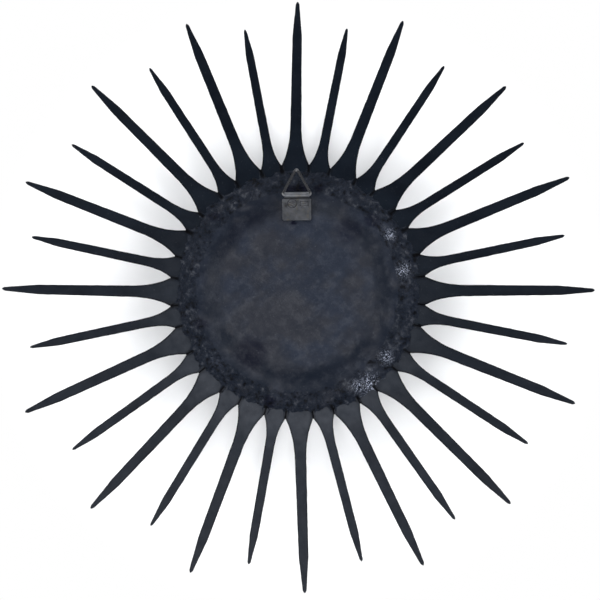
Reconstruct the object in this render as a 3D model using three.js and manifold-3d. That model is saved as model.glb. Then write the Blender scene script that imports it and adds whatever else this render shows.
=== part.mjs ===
// Sunburst wall clock: 32 flat steel blades round a closed hub, with a press-in quartz clock in front.
// Millimetres, +Z up. The dial faces -Y and the closed back faces +Y.
// The origin is the middle of the flat back of the pan, on the axis of the hands.
// Depths are places along Y, so the back of a piece is its larger number.

import * as THREE from 'three';
import { mergeVertices } from 'three/addons/utils/BufferGeometryUtils.js';
import Module from 'manifold-3d';

const wasm = await Module();
wasm.setup();

// ---------------------------------------------------------------- driving dimensions

const GAP = 0.3; // clearance between pieces that touch
const ROUND = 40; // facets round the large turned pieces
const ROUND_SMALL = 14; // facets round arbors, pipes and pins
const MERGE = 1e-4; // vertices closer than this are one

// blades
const BLADE_COUNT = 32; // long and short blades take turns
const BLADE_THICKNESS = 2.5;
const BLADE_ROOT_RADIUS = 70.6;
const NOTCH_RADIUS = 88.5; // where two neighbouring blades part
const SLIT = 0.45; // saw-cut width between neighbouring roots
// The blades are set by hand, so their roots and their directions wander round the hub.
// Each wave is how often it goes round, its size in degrees and where it peaks in degrees.
const ROOT_WAVES = [[1, 0.33, -141], [2, 0.65, 60]];
const AIM_WAVES = [[1, 1.3, 103], [2, 0.5, 9], [5, 0.9, 1], [8, 0.76, 34]];
const LONG_BLADE = {
  tip: 204.2,
  rootSpan: 12.7, // degrees
  pull: [97.2, 4.7], // the flare's control point, along and across
  neck: [112, 3.95], // where the flare ends
  point: [180, 3.35], // where the blade starts to narrow
  tipHalf: 1.3,
  tipLength: 1.6,
};
const SHORT_BLADE = {
  tip: 188.2,
  rootSpan: 9.8,
  pull: [94.5, 3.7],
  neck: [106, 3.25],
  point: [169, 2.9],
  tipHalf: 1.05,
  tipLength: 1.4,
};
const BLADE_CURVE_STEPS = 4;

// back pan, a pressed sheet dish over the blade roots
const PAN_SHEET = 1.0;
const PAN_FLAT_RADIUS = 48;
const PAN_SHOULDER_RADIUS = 68;
const PAN_RIM_RADIUS = 72;
const PAN_DEPTH = 8.6;
const PAN_STEPS = 6;

// body filler round the pan's rim
const FILLER_OUTER = 85;
const FILLER_CROWN = -7.6;
const FILLER_LIP_RADIUS = 69.6;
const FILLER_LUMP = 0.3;
const FILLER_FOOT = 0.7; // the outer edge leans in by this at the blades
const FILLER_EDGE_RISE = 1.2;
const FILLER_SLOPE = [2.5, 1.2]; // from the outer edge in and from the crown down
const FILLER_TOP = 6.5; // from the outer edge in to the crown
const FILLER_FALL = [11.5, 0.6];
const FILLER_LIP_RISE = 0.35;
const FILLER_SEGMENTS = 64;

// hub in front of the blades
const HUB_FLANGE_INNER = 66;
const HUB_FLANGE_OUTER = 86;
const HUB_FLANGE_THICKNESS = 2;
const COLLAR_INNER = 78;
const COLLAR_WALL = 2;
const COLLAR_FRONT = -33;

// hanger: a strap folded round the bar of a triangular wire ring
const BAR_HEIGHT = 65.0; // the bar's centre above the origin
const BAR_DEPTH = -0.9;
const WIRE_RADIUS = 1.0;
const RING_HALF_WIDTH = 10.6; // to the wire's centre line
const RING_HEIGHT = 18.8; // bar to apex, centre lines
const RING_BEND = 2.4; // length of straight that each bend replaces
const RING_STEPS = 40;
const RING_SIDES = 8;
const STRAP_HALF_WIDTH = 9.8;
const STRAP_EYE_HALF_WIDTH = 7.4;
const STRAP_LENGTH = 18;
const STRAP_THICKNESS = 1.5; // two layers of sheet
const STRAP_EYE_WALL = 0.8;
const STRAP_NECK = 3.2; // how far below the bar the strap is narrowed
const CLINCH = { across: 4, below: 6, radii: [2.9, 0.55, 1.7] };

// press-in clock: bezel, lens, dial
const BEZEL_OUTER = 83;
const BEZEL_FRONT = -39.6;
const BEZEL_LIP = 71; // the opening that shows the dial
const BEZEL_SLOPE = [4, 1.6]; // the front face's fall to the lip
const BEZEL_SHOULDERS = [[4, 0], [1, 1.2], [0, 3.4]]; // from the rim in and from the front back
const LENS_LEDGE = 1; // bezel behind the lens
const LENS_SEAT = 74.6;
const SKIRT_OUTER = COLLAR_INNER - 0.4;
const SKIRT_WALL = 1.3;
const SKIRT_BACK = -24.5;
const LENS_EDGE_FRONT = -36.3;
const LENS_THICKNESS = 1.5;
const LENS_CROWN = 1.7;
const DIAL_FRONT = -26.5;
const DIAL_THICKNESS = 0.8;

// movement, a standard 56 mm square battery movement
const CASE_SIDE = 56;
const CASE_CORNER = 3;
const CASE_WALL = 1.2;
const CASE_DEPTH = 16;
const CASE_FRONT_PLATE = 1.5;
const BATTERY_BAY_PLATE = 1.0;
const BAY_DIVIDER_TOP = -10.7;
const BAY_DIVIDER_THICKNESS = 1.0;
const BUSH_RADIUS = 4;
const BUSH_FRONT = -30.5;
const NUT_FLATS = 11;
const NUT_THICKNESS = 2.2;
const COVER_THICKNESS = 1.2;
const BATTERY_RADIUS = 7.25; // AA cell
const BATTERY_LENGTH = 49.5;
const BATTERY_NUB_RADIUS = 2.75;
const BATTERY_NUB_LENGTH = 1.0;
const BATTERY_Z = -19.25;
const CONTACT_THICKNESS = 0.4;
const CONTACT_HALF_WIDTH = 4.5;

// arbors, one inside the next
const SECONDS_ARBOR = 0.5;
const MINUTE_PIPE = [SECONDS_ARBOR + GAP, 1.35];
const HOUR_PIPE = [MINUTE_PIPE[1] + GAP, 2.3];
const BUSH_BORE = HOUR_PIPE[1] + GAP;

// hands
const HOUR_HAND = { length: 40, tail: 9, half: 3.2, tip: 1.2, hub: 5.5, back: -31.0, thickness: 0.5 };
const MINUTE_HAND = { length: 60, tail: 12, half: 2.6, tip: 0.9, hub: 4.5, back: -32.2, thickness: 0.5 };
const SECOND_HAND = { length: 64, tail: 18, half: 0.7, tip: 0.35, hub: 2.6, back: -33.4, thickness: 0.4 };
const HAND_TAIL_SHARE = 0.8; // the tail's width over the blade's
const SHOWN_TIME = { hours: 10, minutes: 9, seconds: 36 };

// wheels lie in layers behind the dial, front to back
const LAYER_THICKNESS = 1.0;
const LAYER_PITCH = 1.6;
const LAYER_FIRST_BACK = -22.4;
const SETTING_SHAFT_RADIUS = 1.2;
const KNOB_RADIUS = 6;
const KNOB_FLUTES = 18;
const KNOB_FLUTE_DEPTH = 0.5;
const KNOB_THICKNESS = 3.6;
const MAGNET_RADIUS = 2.8;
const MAGNET_THICKNESS = 2;

// ---------------------------------------------------------------- places worked out from them

const bladeBack = -PAN_DEPTH - PAN_SHEET - GAP;
const bladeFront = bladeBack - BLADE_THICKNESS;
const hubBack = bladeFront - GAP;
const hubFlangeFront = hubBack - HUB_FLANGE_THICKNESS;
const dialBack = DIAL_FRONT + DIAL_THICKNESS;
const caseFront = dialBack + GAP;
const caseBack = caseFront + CASE_DEPTH;
const caseInside = caseFront + CASE_FRONT_PLATE;
const coverBack = caseBack + GAP + COVER_THICKNESS;
const caseHalf = CASE_SIDE / 2;
const caseInnerHalf = caseHalf - CASE_WALL;

// ---------------------------------------------------------------- materials

const paint = { color: 0x22262e, roughness: 0.45, metalness: 0.35 };
const panPaint = { color: 0x262b35, roughness: 0.4, metalness: 0.35 };
const filler = { color: 0x252a33, roughness: 0.5, metalness: 0.2 };
const gunmetal = { color: 0x6f7078, roughness: 0.35, metalness: 0.9 };
const nickel = { color: 0xb9b6b0, roughness: 0.2, metalness: 1.0 };
const glass = { color: 0xf4f8fa, roughness: 0.05, metalness: 0.0 };
const dialWhite = { color: 0xeeeae0, roughness: 0.7, metalness: 0.0 };
const blackPlastic = { color: 0x1a1a1c, roughness: 0.6, metalness: 0.0 };
const brass = { color: 0xb79a55, roughness: 0.3, metalness: 1.0 };
const whitePlastic = { color: 0xe6e4dc, roughness: 0.5, metalness: 0.0 };
const copper = { color: 0xa8623c, roughness: 0.4, metalness: 0.8 };
const steel = { color: 0x9a9c9e, roughness: 0.35, metalness: 1.0 };
const magnet = { color: 0x3a3a3e, roughness: 0.5, metalness: 0.6 };
const cellWrap = { color: 0x2f5d7c, roughness: 0.4, metalness: 0.1 };
const handBlack = { color: 0x101012, roughness: 0.4, metalness: 0.2 };
const handRed = { color: 0xa02420, roughness: 0.4, metalness: 0.1 };

// ---------------------------------------------------------------- helpers

const clock = new THREE.Group();

function addPiece(name, geometry, look, parent = clock) {
  const mesh = new THREE.Mesh(geometry, new THREE.MeshStandardMaterial(look));
  mesh.name = name;
  parent.add(mesh);
  return mesh;
}

// Keeps positions only and makes coincident vertices one, so that the surface is closed.
function weld(geometry) {
  geometry.deleteAttribute('normal');
  geometry.deleteAttribute('uv');
  return mergeVertices(geometry, MERGE);
}

// Turns a closed (radius, depth) outline, listed with its inside on the left, round the hands' axis.
function turned(outline, segments = ROUND) {
  const points = outline.map(([radius, depth]) => new THREE.Vector2(radius, depth));
  return weld(new THREE.LatheGeometry(points, segments));
}

// A ring or disc between two radii and two depths.
function turnedBand(inner, outer, front, back, segments = ROUND_SMALL) {
  if (inner === 0) {
    return turned([[0, front], [outer, front], [outer, back], [0, back]], segments);
  }
  return turned([[inner, front], [outer, front], [outer, back], [inner, back], [inner, front]], segments);
}

// A flat plate whose outline is drawn in (x, z), reaching forward from its back face.
function plate(shape, back, thickness, curveSegments = BLADE_CURVE_STEPS) {
  const options = { depth: thickness, bevelEnabled: false, curveSegments };
  const geometry = new THREE.ExtrudeGeometry(shape, options);
  geometry.rotateX(Math.PI / 2);
  geometry.translate(0, back, 0);
  return weld(geometry);
}

function outlineShape(points) {
  return new THREE.Shape(points.map(([x, y]) => new THREE.Vector2(x, y)));
}

function regularPolygon(sides, radius) {
  return Array.from({ length: sides }, (_, side) => {
    const angle = (2 * Math.PI * side) / sides;
    return [radius * Math.cos(angle), radius * Math.sin(angle)];
  });
}

function roundHole(x, z, radius) {
  const hole = new THREE.Path();
  hole.absarc(x, z, radius, 0, 2 * Math.PI, true);
  return hole;
}

// A block between two corners.
function block([x0, y0, z0], [x1, y1, z1]) {
  const geometry = new THREE.BoxGeometry(x1 - x0, y1 - y0, z1 - z0);
  geometry.translate((x0 + x1) / 2, (y0 + y1) / 2, (z0 + z1) / 2);
  return geometry;
}

function toSolid(geometry) {
  const welded = weld(geometry.clone());
  const vertProperties = new Float32Array(welded.attributes.position.array);
  const triVerts = new Uint32Array(welded.index.array);
  return new wasm.Manifold(new wasm.Mesh({ numProp: 3, vertProperties, triVerts }));
}

function toGeometry(solid) {
  const mesh = solid.getMesh();
  const geometry = new THREE.BufferGeometry();
  geometry.setAttribute('position', new THREE.BufferAttribute(new Float32Array(mesh.vertProperties), 3));
  geometry.setIndex(new THREE.BufferAttribute(new Uint32Array(mesh.triVerts), 1));
  return geometry;
}

const join = (...pieces) => toGeometry(pieces.map(toSolid).reduce((whole, piece) => whole.add(piece)));
const cut = (body, ...tools) =>
  toGeometry(tools.map(toSolid).reduce((left, tool) => left.subtract(tool), toSolid(body)));

// ---------------------------------------------------------------- blades

const HALF_PITCH = Math.PI / BLADE_COUNT;

// The sum of the waves at an angle round the hub, in radians.
function wander(waves, turn) {
  return waves.reduce((sum, [times, degrees, peak]) => {
    const phase = times * turn - THREE.MathUtils.degToRad(peak);
    return sum + THREE.MathUtils.degToRad(degrees) * Math.cos(phase);
  }, 0);
}

// The outline lies along +X. It runs out on the lower side, round the tip and back on the upper side.
// Neighbouring roots share the saw cut between them, wherever it has wandered to.
function bladeShape({ tip, rootSpan, pull, neck, point, tipHalf, tipLength }, turn) {
  const start = NOTCH_RADIUS * Math.tan(wander(ROOT_WAVES, turn));
  const slope = Math.tan(wander(AIM_WAVES, turn));
  const at = (x, half, side) => [x, side * half + start + slope * (x - NOTCH_RADIUS)];
  const rootAt = (radius, side) => {
    const halfSpan = THREE.MathUtils.degToRad(rootSpan) / 2;
    const edge = side * halfSpan + wander(ROOT_WAVES, turn + side * HALF_PITCH);
    const inset = (side * SLIT) / 2;
    return [
      radius * Math.cos(edge) + inset * Math.sin(edge),
      radius * Math.sin(edge) - inset * Math.cos(edge),
    ];
  };
  const shape = new THREE.Shape();
  shape.moveTo(...rootAt(BLADE_ROOT_RADIUS, -1));
  shape.lineTo(...rootAt(NOTCH_RADIUS, -1));
  shape.quadraticCurveTo(...at(...pull, -1), ...at(...neck, -1));
  shape.lineTo(...at(...point, -1));
  shape.lineTo(...at(tip - tipLength, tipHalf, -1));
  shape.quadraticCurveTo(...at(tip + tipLength, 0, 1), ...at(tip - tipLength, tipHalf, 1));
  shape.lineTo(...at(...point, 1));
  shape.lineTo(...at(...neck, 1));
  shape.quadraticCurveTo(...at(...pull, 1), ...rootAt(NOTCH_RADIUS, 1));
  shape.lineTo(...rootAt(BLADE_ROOT_RADIUS, 1));
  return shape;
}

for (let i = 0; i < BLADE_COUNT; i += 1) {
  const kind = i % 2 === 0 ? LONG_BLADE : SHORT_BLADE;
  const turn = 2 * HALF_PITCH * i;
  const blade = addPiece(
    `ray_${String(i + 1).padStart(2, '0')}`,
    plate(bladeShape(kind, turn), bladeBack, BLADE_THICKNESS),
    paint,
  );
  blade.rotation.y = -turn;
}

// ---------------------------------------------------------------- back pan and filler

function panSurface(offset) {
  const points = [];
  for (let step = 0; step <= PAN_STEPS; step += 1) {
    const radius = THREE.MathUtils.lerp(PAN_FLAT_RADIUS, PAN_SHOULDER_RADIUS, step / PAN_STEPS);
    const drop = THREE.MathUtils.smoothstep(radius, PAN_FLAT_RADIUS, PAN_SHOULDER_RADIUS);
    points.push([radius, offset - PAN_DEPTH * drop]);
  }
  points.push([PAN_RIM_RADIUS, offset - PAN_DEPTH]);
  return points;
}

addPiece(
  'back_pan',
  turned([[0, -PAN_SHEET], ...panSurface(-PAN_SHEET), ...panSurface(0).reverse(), [0, 0]]),
  panPaint,
);

// The filler is laid on by hand, so its crown and edges wander in and out.
function fillerBead() {
  const base = bladeBack + GAP;
  const lipDepth = GAP - PAN_DEPTH;
  const inner = PAN_RIM_RADIUS + GAP;
  const geometry = turned([
    [inner, base],
    [FILLER_OUTER - FILLER_FOOT, base],
    [FILLER_OUTER, base + FILLER_EDGE_RISE],
    [FILLER_OUTER - FILLER_SLOPE[0], FILLER_CROWN - FILLER_SLOPE[1]],
    [FILLER_OUTER - FILLER_TOP, FILLER_CROWN],
    [FILLER_OUTER - FILLER_FALL[0], FILLER_CROWN - FILLER_FALL[1]],
    [FILLER_LIP_RADIUS, lipDepth + FILLER_LIP_RISE],
    [FILLER_LIP_RADIUS + GAP, lipDepth],
    [inner, lipDepth],
    [inner, base],
  ], FILLER_SEGMENTS);
  const place = geometry.attributes.position;
  for (let i = 0; i < place.count; i += 1) {
    const [x, y, z] = [place.getX(i), place.getY(i), place.getZ(i)];
    const angle = Math.atan2(z, x);
    const radius = Math.hypot(x, z);
    const ripple = Math.sin(7 * angle) + Math.sin(12 * angle + 1) + Math.sin(19 * angle + 2);
    const high = THREE.MathUtils.smoothstep(y, base + FILLER_EDGE_RISE, FILLER_CROWN);
    const outside = THREE.MathUtils.smoothstep(radius, inner + 3, FILLER_OUTER - 2);
    const wander = 1 + (FILLER_LUMP * outside * ripple) / (2 * radius);
    place.setXYZ(i, x * wander, y + (FILLER_LUMP * high * ripple) / 3, z * wander);
  }
  return geometry;
}

addPiece('filler_bead', fillerBead(), filler);

// ---------------------------------------------------------------- hub

addPiece(
  'hub_ring',
  turned([
    [COLLAR_INNER, COLLAR_FRONT],
    [COLLAR_INNER + COLLAR_WALL, COLLAR_FRONT],
    [COLLAR_INNER + COLLAR_WALL, hubFlangeFront],
    [HUB_FLANGE_OUTER, hubFlangeFront],
    [HUB_FLANGE_OUTER, hubBack],
    [HUB_FLANGE_INNER, hubBack],
    [HUB_FLANGE_INNER, hubFlangeFront],
    [COLLAR_INNER, hubFlangeFront],
    [COLLAR_INNER, COLLAR_FRONT],
  ]),
  paint,
);

// ---------------------------------------------------------------- hanger

// Both hanger pieces are drawn round the bar's centre line, which lies along X.
const hanger = new THREE.Group();
hanger.position.set(0, BAR_DEPTH, BAR_HEIGHT);
clock.add(hanger);

// The ring starts and ends at a butt joint in the middle of the bar, hidden in the strap's eye.
function ringWire() {
  const corner = (x, z) => new THREE.Vector3(x, 0, z);
  const right = corner(RING_HALF_WIDTH, 0);
  const apex = corner(0, RING_HEIGHT);
  const left = corner(-RING_HALF_WIDTH, 0);
  const toward = (from, to) => from.clone().addScaledVector(to.clone().sub(from).normalize(), RING_BEND);
  const path = new THREE.CurvePath();
  path.add(new THREE.LineCurve3(corner(GAP / 2, 0), toward(right, left)));
  path.add(new THREE.QuadraticBezierCurve3(toward(right, left), right, toward(right, apex)));
  path.add(new THREE.LineCurve3(toward(right, apex), toward(apex, right)));
  path.add(new THREE.QuadraticBezierCurve3(toward(apex, right), apex, toward(apex, left)));
  path.add(new THREE.LineCurve3(toward(apex, left), toward(left, apex)));
  path.add(new THREE.QuadraticBezierCurve3(toward(left, apex), left, toward(left, right)));
  path.add(new THREE.LineCurve3(toward(left, right), corner(-GAP / 2, 0)));
  const section = outlineShape(regularPolygon(RING_SIDES, WIRE_RADIUS));
  return weld(new THREE.ExtrudeGeometry(section, { extrudePath: path, steps: RING_STEPS }));
}

addPiece('hanger_ring', ringWire(), nickel, hanger);

// Seen from the side the strap is a flat tongue that ends in an eye round the bar.
function strap() {
  const half = STRAP_THICKNESS / 2;
  const eyeInner = WIRE_RADIUS + GAP;
  const eyeOuter = eyeInner + STRAP_EYE_WALL;
  const meets = Math.PI - Math.asin(half / eyeOuter);
  const side = new THREE.Shape();
  side.moveTo(-STRAP_LENGTH, -half);
  side.lineTo(eyeOuter * Math.cos(meets), -half);
  side.absarc(0, 0, eyeOuter, -meets, meets, false);
  side.lineTo(-STRAP_LENGTH, half);
  side.holes.push(roundHole(0, 0, eyeInner));
  const tongue = new THREE.ExtrudeGeometry(side, {
    depth: 2 * STRAP_HALF_WIDTH, bevelEnabled: false, curveSegments: 8,
  });
  tongue.rotateY(-Math.PI / 2);
  tongue.translate(STRAP_HALF_WIDTH, 0, 0);
  const notch = (sign) => {
    const xs = [sign * STRAP_EYE_HALF_WIDTH, sign * (STRAP_HALF_WIDTH + 1)].sort((a, b) => a - b);
    return block([xs[0], -eyeOuter - 1, -STRAP_NECK], [xs[1], eyeOuter + 1, eyeOuter + 1]);
  };
  const clinch = (sign) => {
    const dimple = new THREE.SphereGeometry(1, ROUND_SMALL, 8);
    dimple.scale(...CLINCH.radii);
    dimple.translate(sign * CLINCH.across, half, -CLINCH.below);
    return dimple;
  };
  return cut(tongue, notch(-1), notch(1), clinch(-1), clinch(1));
}

// The strap's lower end rests on the pan, so the strap leans back a little from the bar down.
const strapPiece = addPiece('hanger_strap', strap(), gunmetal, hanger);
strapPiece.rotation.x = Math.asin((STRAP_THICKNESS / 2 + GAP - BAR_DEPTH) / STRAP_LENGTH);

// ---------------------------------------------------------------- bezel, lens and dial

addPiece(
  'bezel',
  turned([
    [BEZEL_LIP, BEZEL_FRONT + BEZEL_SLOPE[1]],
    [BEZEL_LIP + BEZEL_SLOPE[0], BEZEL_FRONT],
    ...BEZEL_SHOULDERS.map(([inward, backward]) => [BEZEL_OUTER - inward, BEZEL_FRONT + backward]),
    [BEZEL_OUTER, COLLAR_FRONT - GAP],
    [SKIRT_OUTER, COLLAR_FRONT - GAP],
    [SKIRT_OUTER, SKIRT_BACK],
    [SKIRT_OUTER - SKIRT_WALL, SKIRT_BACK],
    [SKIRT_OUTER - SKIRT_WALL, LENS_EDGE_FRONT + LENS_THICKNESS + LENS_LEDGE],
    [LENS_SEAT, LENS_EDGE_FRONT + LENS_THICKNESS + LENS_LEDGE],
    [LENS_SEAT, LENS_EDGE_FRONT - GAP],
    [BEZEL_LIP, LENS_EDGE_FRONT - GAP],
    [BEZEL_LIP, BEZEL_FRONT + BEZEL_SLOPE[1]],
  ]),
  paint,
);

// The lens is pressed into a shallow dome inside its flat edge.
function lensGlass() {
  const domeRadius = BEZEL_LIP - 1;
  const dome = (radius) => LENS_CROWN * (1 - (radius / domeRadius) ** 2);
  const radii = [0, domeRadius / 3, (2 * domeRadius) / 3, domeRadius];
  const edge = LENS_SEAT - GAP;
  const front = radii.map((radius) => [radius, LENS_EDGE_FRONT - dome(radius)]);
  const back = radii.map((radius) => [radius, LENS_EDGE_FRONT + LENS_THICKNESS - dome(radius)]);
  return turned([
    ...front,
    [edge, LENS_EDGE_FRONT],
    [edge, LENS_EDGE_FRONT + LENS_THICKNESS],
    ...back.reverse(),
  ]);
}

addPiece('lens', lensGlass(), { ...glass, transparent: true, opacity: 0.2 });

const dialRadius = SKIRT_OUTER - SKIRT_WALL - GAP;
addPiece('dial', turnedBand(BUSH_RADIUS + GAP, dialRadius, DIAL_FRONT, dialBack, ROUND), dialWhite);

// ---------------------------------------------------------------- movement case, cover and nut

function roundedSquare(half, corner) {
  const shape = new THREE.Shape();
  shape.moveTo(corner - half, -half);
  shape.lineTo(half - corner, -half);
  shape.quadraticCurveTo(half, -half, half, corner - half);
  shape.lineTo(half, half - corner);
  shape.quadraticCurveTo(half, half, half - corner, half);
  shape.lineTo(corner - half, half);
  shape.quadraticCurveTo(-half, half, -half, half - corner);
  shape.lineTo(-half, corner - half);
  shape.quadraticCurveTo(-half, -half, corner - half, -half);
  return shape;
}

const dividerBottom = BAY_DIVIDER_TOP - BAY_DIVIDER_THICKNESS;
addPiece(
  'movement_case',
  cut(
    join(
      plate(roundedSquare(caseHalf, CASE_CORNER), caseBack, CASE_DEPTH),
      turnedBand(0, BUSH_RADIUS, BUSH_FRONT, caseInside, ROUND_SMALL),
    ),
    block([-caseInnerHalf, caseInside, BAY_DIVIDER_TOP], [caseInnerHalf, caseBack + 1, caseInnerHalf]),
    block(
      [-caseInnerHalf, caseFront + BATTERY_BAY_PLATE, -caseInnerHalf],
      [caseInnerHalf, caseBack + 1, dividerBottom],
    ),
    turnedBand(0, BUSH_BORE, BUSH_FRONT - 1, caseInside + 1, ROUND_SMALL),
  ),
  blackPlastic,
);

function mountingNut() {
  const corner = NUT_FLATS / Math.sqrt(3);
  const nut = outlineShape(regularPolygon(6, corner));
  nut.holes.push(roundHole(0, 0, BUSH_RADIUS + GAP));
  return plate(nut, DIAL_FRONT - GAP, NUT_THICKNESS, ROUND_SMALL / 2);
}

addPiece('mounting_nut', mountingNut(), brass);

// ---------------------------------------------------------------- gear train

const TRAIN_MODULE = 0.3;
const CANNON_MODULE = 0.3125;
const SECONDS_PINION_MODULE = 0.3176;
const polar = (distance, degrees, [x, z] = [0, 0]) => {
  const angle = THREE.MathUtils.degToRad(degrees);
  return [x + distance * Math.cos(angle), z + distance * Math.sin(angle)];
};
const pitchRadius = ({ teeth, module }) => (teeth * module) / 2;

// Each gear names its teeth, its module, the layer it lies in and the axis it turns on.
const centre = [0, 0];
const cannonPinion = { teeth: 12, module: CANNON_MODULE, layer: 1, axis: centre };
const minuteGear = { teeth: 36, module: CANNON_MODULE, layer: 1 };
const minutePinion = { teeth: 10, module: TRAIN_MODULE, layer: 0 };
const hourGear = { teeth: 40, module: TRAIN_MODULE, layer: 0, axis: centre };
const settingGear = { teeth: 14, module: CANNON_MODULE, layer: 1 };
const centreGear = { teeth: 64, module: TRAIN_MODULE, layer: 2, axis: centre };
const thirdPinion = { teeth: 8, module: TRAIN_MODULE, layer: 2 };
const thirdGear = { teeth: 60, module: SECONDS_PINION_MODULE, layer: 3 };
const secondsPinion = { teeth: 8, module: SECONDS_PINION_MODULE, layer: 3, axis: centre };
const secondsGear = { teeth: 40, module: TRAIN_MODULE, layer: 4, axis: centre };
const intermediatePinion = { teeth: 8, module: TRAIN_MODULE, layer: 4 };
const intermediateGear = { teeth: 48, module: TRAIN_MODULE, layer: 5 };
const rotorPinion = { teeth: 8, module: TRAIN_MODULE, layer: 5 };

const spacing = (one, other) => pitchRadius(one) + pitchRadius(other);
const minuteAxis = polar(spacing(cannonPinion, minuteGear), 20);
const settingAxis = polar(spacing(minuteGear, settingGear), 20, minuteAxis);
const thirdAxis = polar(spacing(thirdPinion, centreGear), 160);
const intermediateAxis = polar(spacing(intermediatePinion, secondsGear), 90);
const rotorAxis = polar(spacing(rotorPinion, intermediateGear), 40, intermediateAxis);
minuteGear.axis = minuteAxis;
minutePinion.axis = minuteAxis;
settingGear.axis = settingAxis;
thirdPinion.axis = thirdAxis;
thirdGear.axis = thirdAxis;
intermediatePinion.axis = intermediateAxis;
intermediateGear.axis = intermediateAxis;
rotorPinion.axis = rotorAxis;

// Turns the second gear so that one of its gaps faces a tooth of the first.
function mesh(first, second) {
  const line = Math.atan2(second.axis[1] - first.axis[1], second.axis[0] - first.axis[0]);
  const toothOff = (first.phase ?? 0) - line;
  const gap = line + Math.PI - (toothOff * pitchRadius(first)) / pitchRadius(second);
  second.phase = gap + Math.PI / second.teeth;
}

mesh(cannonPinion, minuteGear);
mesh(minuteGear, settingGear);
mesh(minutePinion, hourGear);
mesh(thirdPinion, centreGear);
mesh(secondsPinion, thirdGear);
mesh(intermediatePinion, secondsGear);
mesh(rotorPinion, intermediateGear);

// Teeth are plain: wheels have pointed teeth, pinions have narrow flat-topped ones. They run with play.
const PINION_MOST_TEETH = 14;
const ADDENDUM = 0.6;
const DEDENDUM = 1.3;
const PINION_TIP_SHARE = 0.08;
const PINION_ROOT_SHARE = 0.16;
const layerBack = (layer) => LAYER_FIRST_BACK + layer * LAYER_PITCH;

function gear({ teeth, module, layer, phase = 0 }) {
  const pitch = (2 * Math.PI) / teeth;
  const top = pitchRadius({ teeth, module }) + ADDENDUM * module;
  const root = pitchRadius({ teeth, module }) - DEDENDUM * module;
  const points = [];
  for (let tooth = 0; tooth < teeth; tooth += 1) {
    const middle = phase + tooth * pitch;
    const spot = (radius, share) => {
      const angle = middle + share * pitch;
      points.push([radius * Math.cos(angle), radius * Math.sin(angle)]);
    };
    if (teeth > PINION_MOST_TEETH) {
      spot(root, -0.5);
      spot(top, 0);
    } else {
      spot(root, -PINION_ROOT_SHARE);
      spot(top, -PINION_TIP_SHARE);
      spot(top, PINION_TIP_SHARE);
      spot(root, PINION_ROOT_SHARE);
    }
  }
  return plate(outlineShape(points), layerBack(layer), LAYER_THICKNESS);
}

const layerFront = (layer) => layerBack(layer) - LAYER_THICKNESS;
const arbor = (radius, front, back) => turnedBand(0, radius, front, back);

function addWheel(name, geometry, look, [x, z] = centre) {
  addPiece(name, geometry, look).position.set(x, 0, z);
}

const drilled = (body, radius) => cut(body, arbor(radius, BUSH_FRONT - CASE_DEPTH, caseBack));
const pipeFront = (hand) => hand.back - hand.thickness - GAP;
const handTip = pipeFront(SECOND_HAND);

addWheel(
  'hour_wheel',
  drilled(join(gear(hourGear), arbor(HOUR_PIPE[1], pipeFront(HOUR_HAND), layerBack(0))), HOUR_PIPE[0]),
  whitePlastic,
);
addWheel(
  'minute_arbor',
  drilled(
    join(gear(cannonPinion), arbor(MINUTE_PIPE[1], pipeFront(MINUTE_HAND), layerBack(2))),
    MINUTE_PIPE[0],
  ),
  brass,
);
addWheel(
  'minute_wheel',
  join(gear(minuteGear), gear(minutePinion), arbor(SECONDS_ARBOR, layerFront(0), layerBack(1) + GAP)),
  whitePlastic,
  minuteAxis,
);
addWheel('centre_wheel', drilled(gear(centreGear), HOUR_PIPE[0]), brass);
addWheel(
  'third_wheel',
  join(gear(thirdPinion), gear(thirdGear), arbor(SECONDS_ARBOR, layerFront(2) - GAP, layerBack(5))),
  whitePlastic,
  thirdAxis,
);
addWheel(
  'seconds_wheel',
  join(gear(secondsPinion), gear(secondsGear), arbor(SECONDS_ARBOR, handTip, layerBack(4) + GAP)),
  whitePlastic,
);
addWheel(
  'intermediate_wheel',
  join(
    gear(intermediatePinion),
    gear(intermediateGear),
    arbor(SECONDS_ARBOR, layerFront(4) - GAP, layerBack(6)),
  ),
  whitePlastic,
  intermediateAxis,
);

const magnetFront = layerBack(5) + GAP;
const magnetBack = magnetFront + MAGNET_THICKNESS;
addWheel(
  'rotor',
  join(
    gear(rotorPinion),
    arbor(SECONDS_ARBOR, layerFront(5) - GAP, magnetBack + 1),
    arbor(MAGNET_RADIUS, magnetFront, magnetBack),
  ),
  magnet,
  rotorAxis,
);

// The setting knob, its shaft and its small gear are one moulding.
function settingKnob() {
  const flutes = [];
  for (let flute = 0; flute < 2 * KNOB_FLUTES; flute += 1) {
    const radius = flute % 2 === 0 ? KNOB_RADIUS : KNOB_RADIUS - KNOB_FLUTE_DEPTH;
    const angle = (Math.PI * flute) / KNOB_FLUTES;
    flutes.push([radius * Math.cos(angle), radius * Math.sin(angle)]);
  }
  const knobBack = coverBack + GAP + KNOB_THICKNESS;
  return join(
    gear(settingGear),
    arbor(SETTING_SHAFT_RADIUS, layerFront(1), knobBack - 1),
    plate(outlineShape(flutes), knobBack, KNOB_THICKNESS),
  );
}

addWheel('setting_knob', settingKnob(), blackPlastic, settingAxis);

// The cover closes the wheels' half of the case and leaves the battery bay open behind.
function coverShape() {
  const corner = CASE_CORNER;
  const shape = new THREE.Shape();
  shape.moveTo(-caseHalf, dividerBottom);
  shape.lineTo(caseHalf, dividerBottom);
  shape.lineTo(caseHalf, caseHalf - corner);
  shape.quadraticCurveTo(caseHalf, caseHalf, caseHalf - corner, caseHalf);
  shape.lineTo(corner - caseHalf, caseHalf);
  shape.quadraticCurveTo(-caseHalf, caseHalf, -caseHalf, caseHalf - corner);
  shape.holes.push(roundHole(...settingAxis, SETTING_SHAFT_RADIUS + GAP));
  return shape;
}

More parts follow.
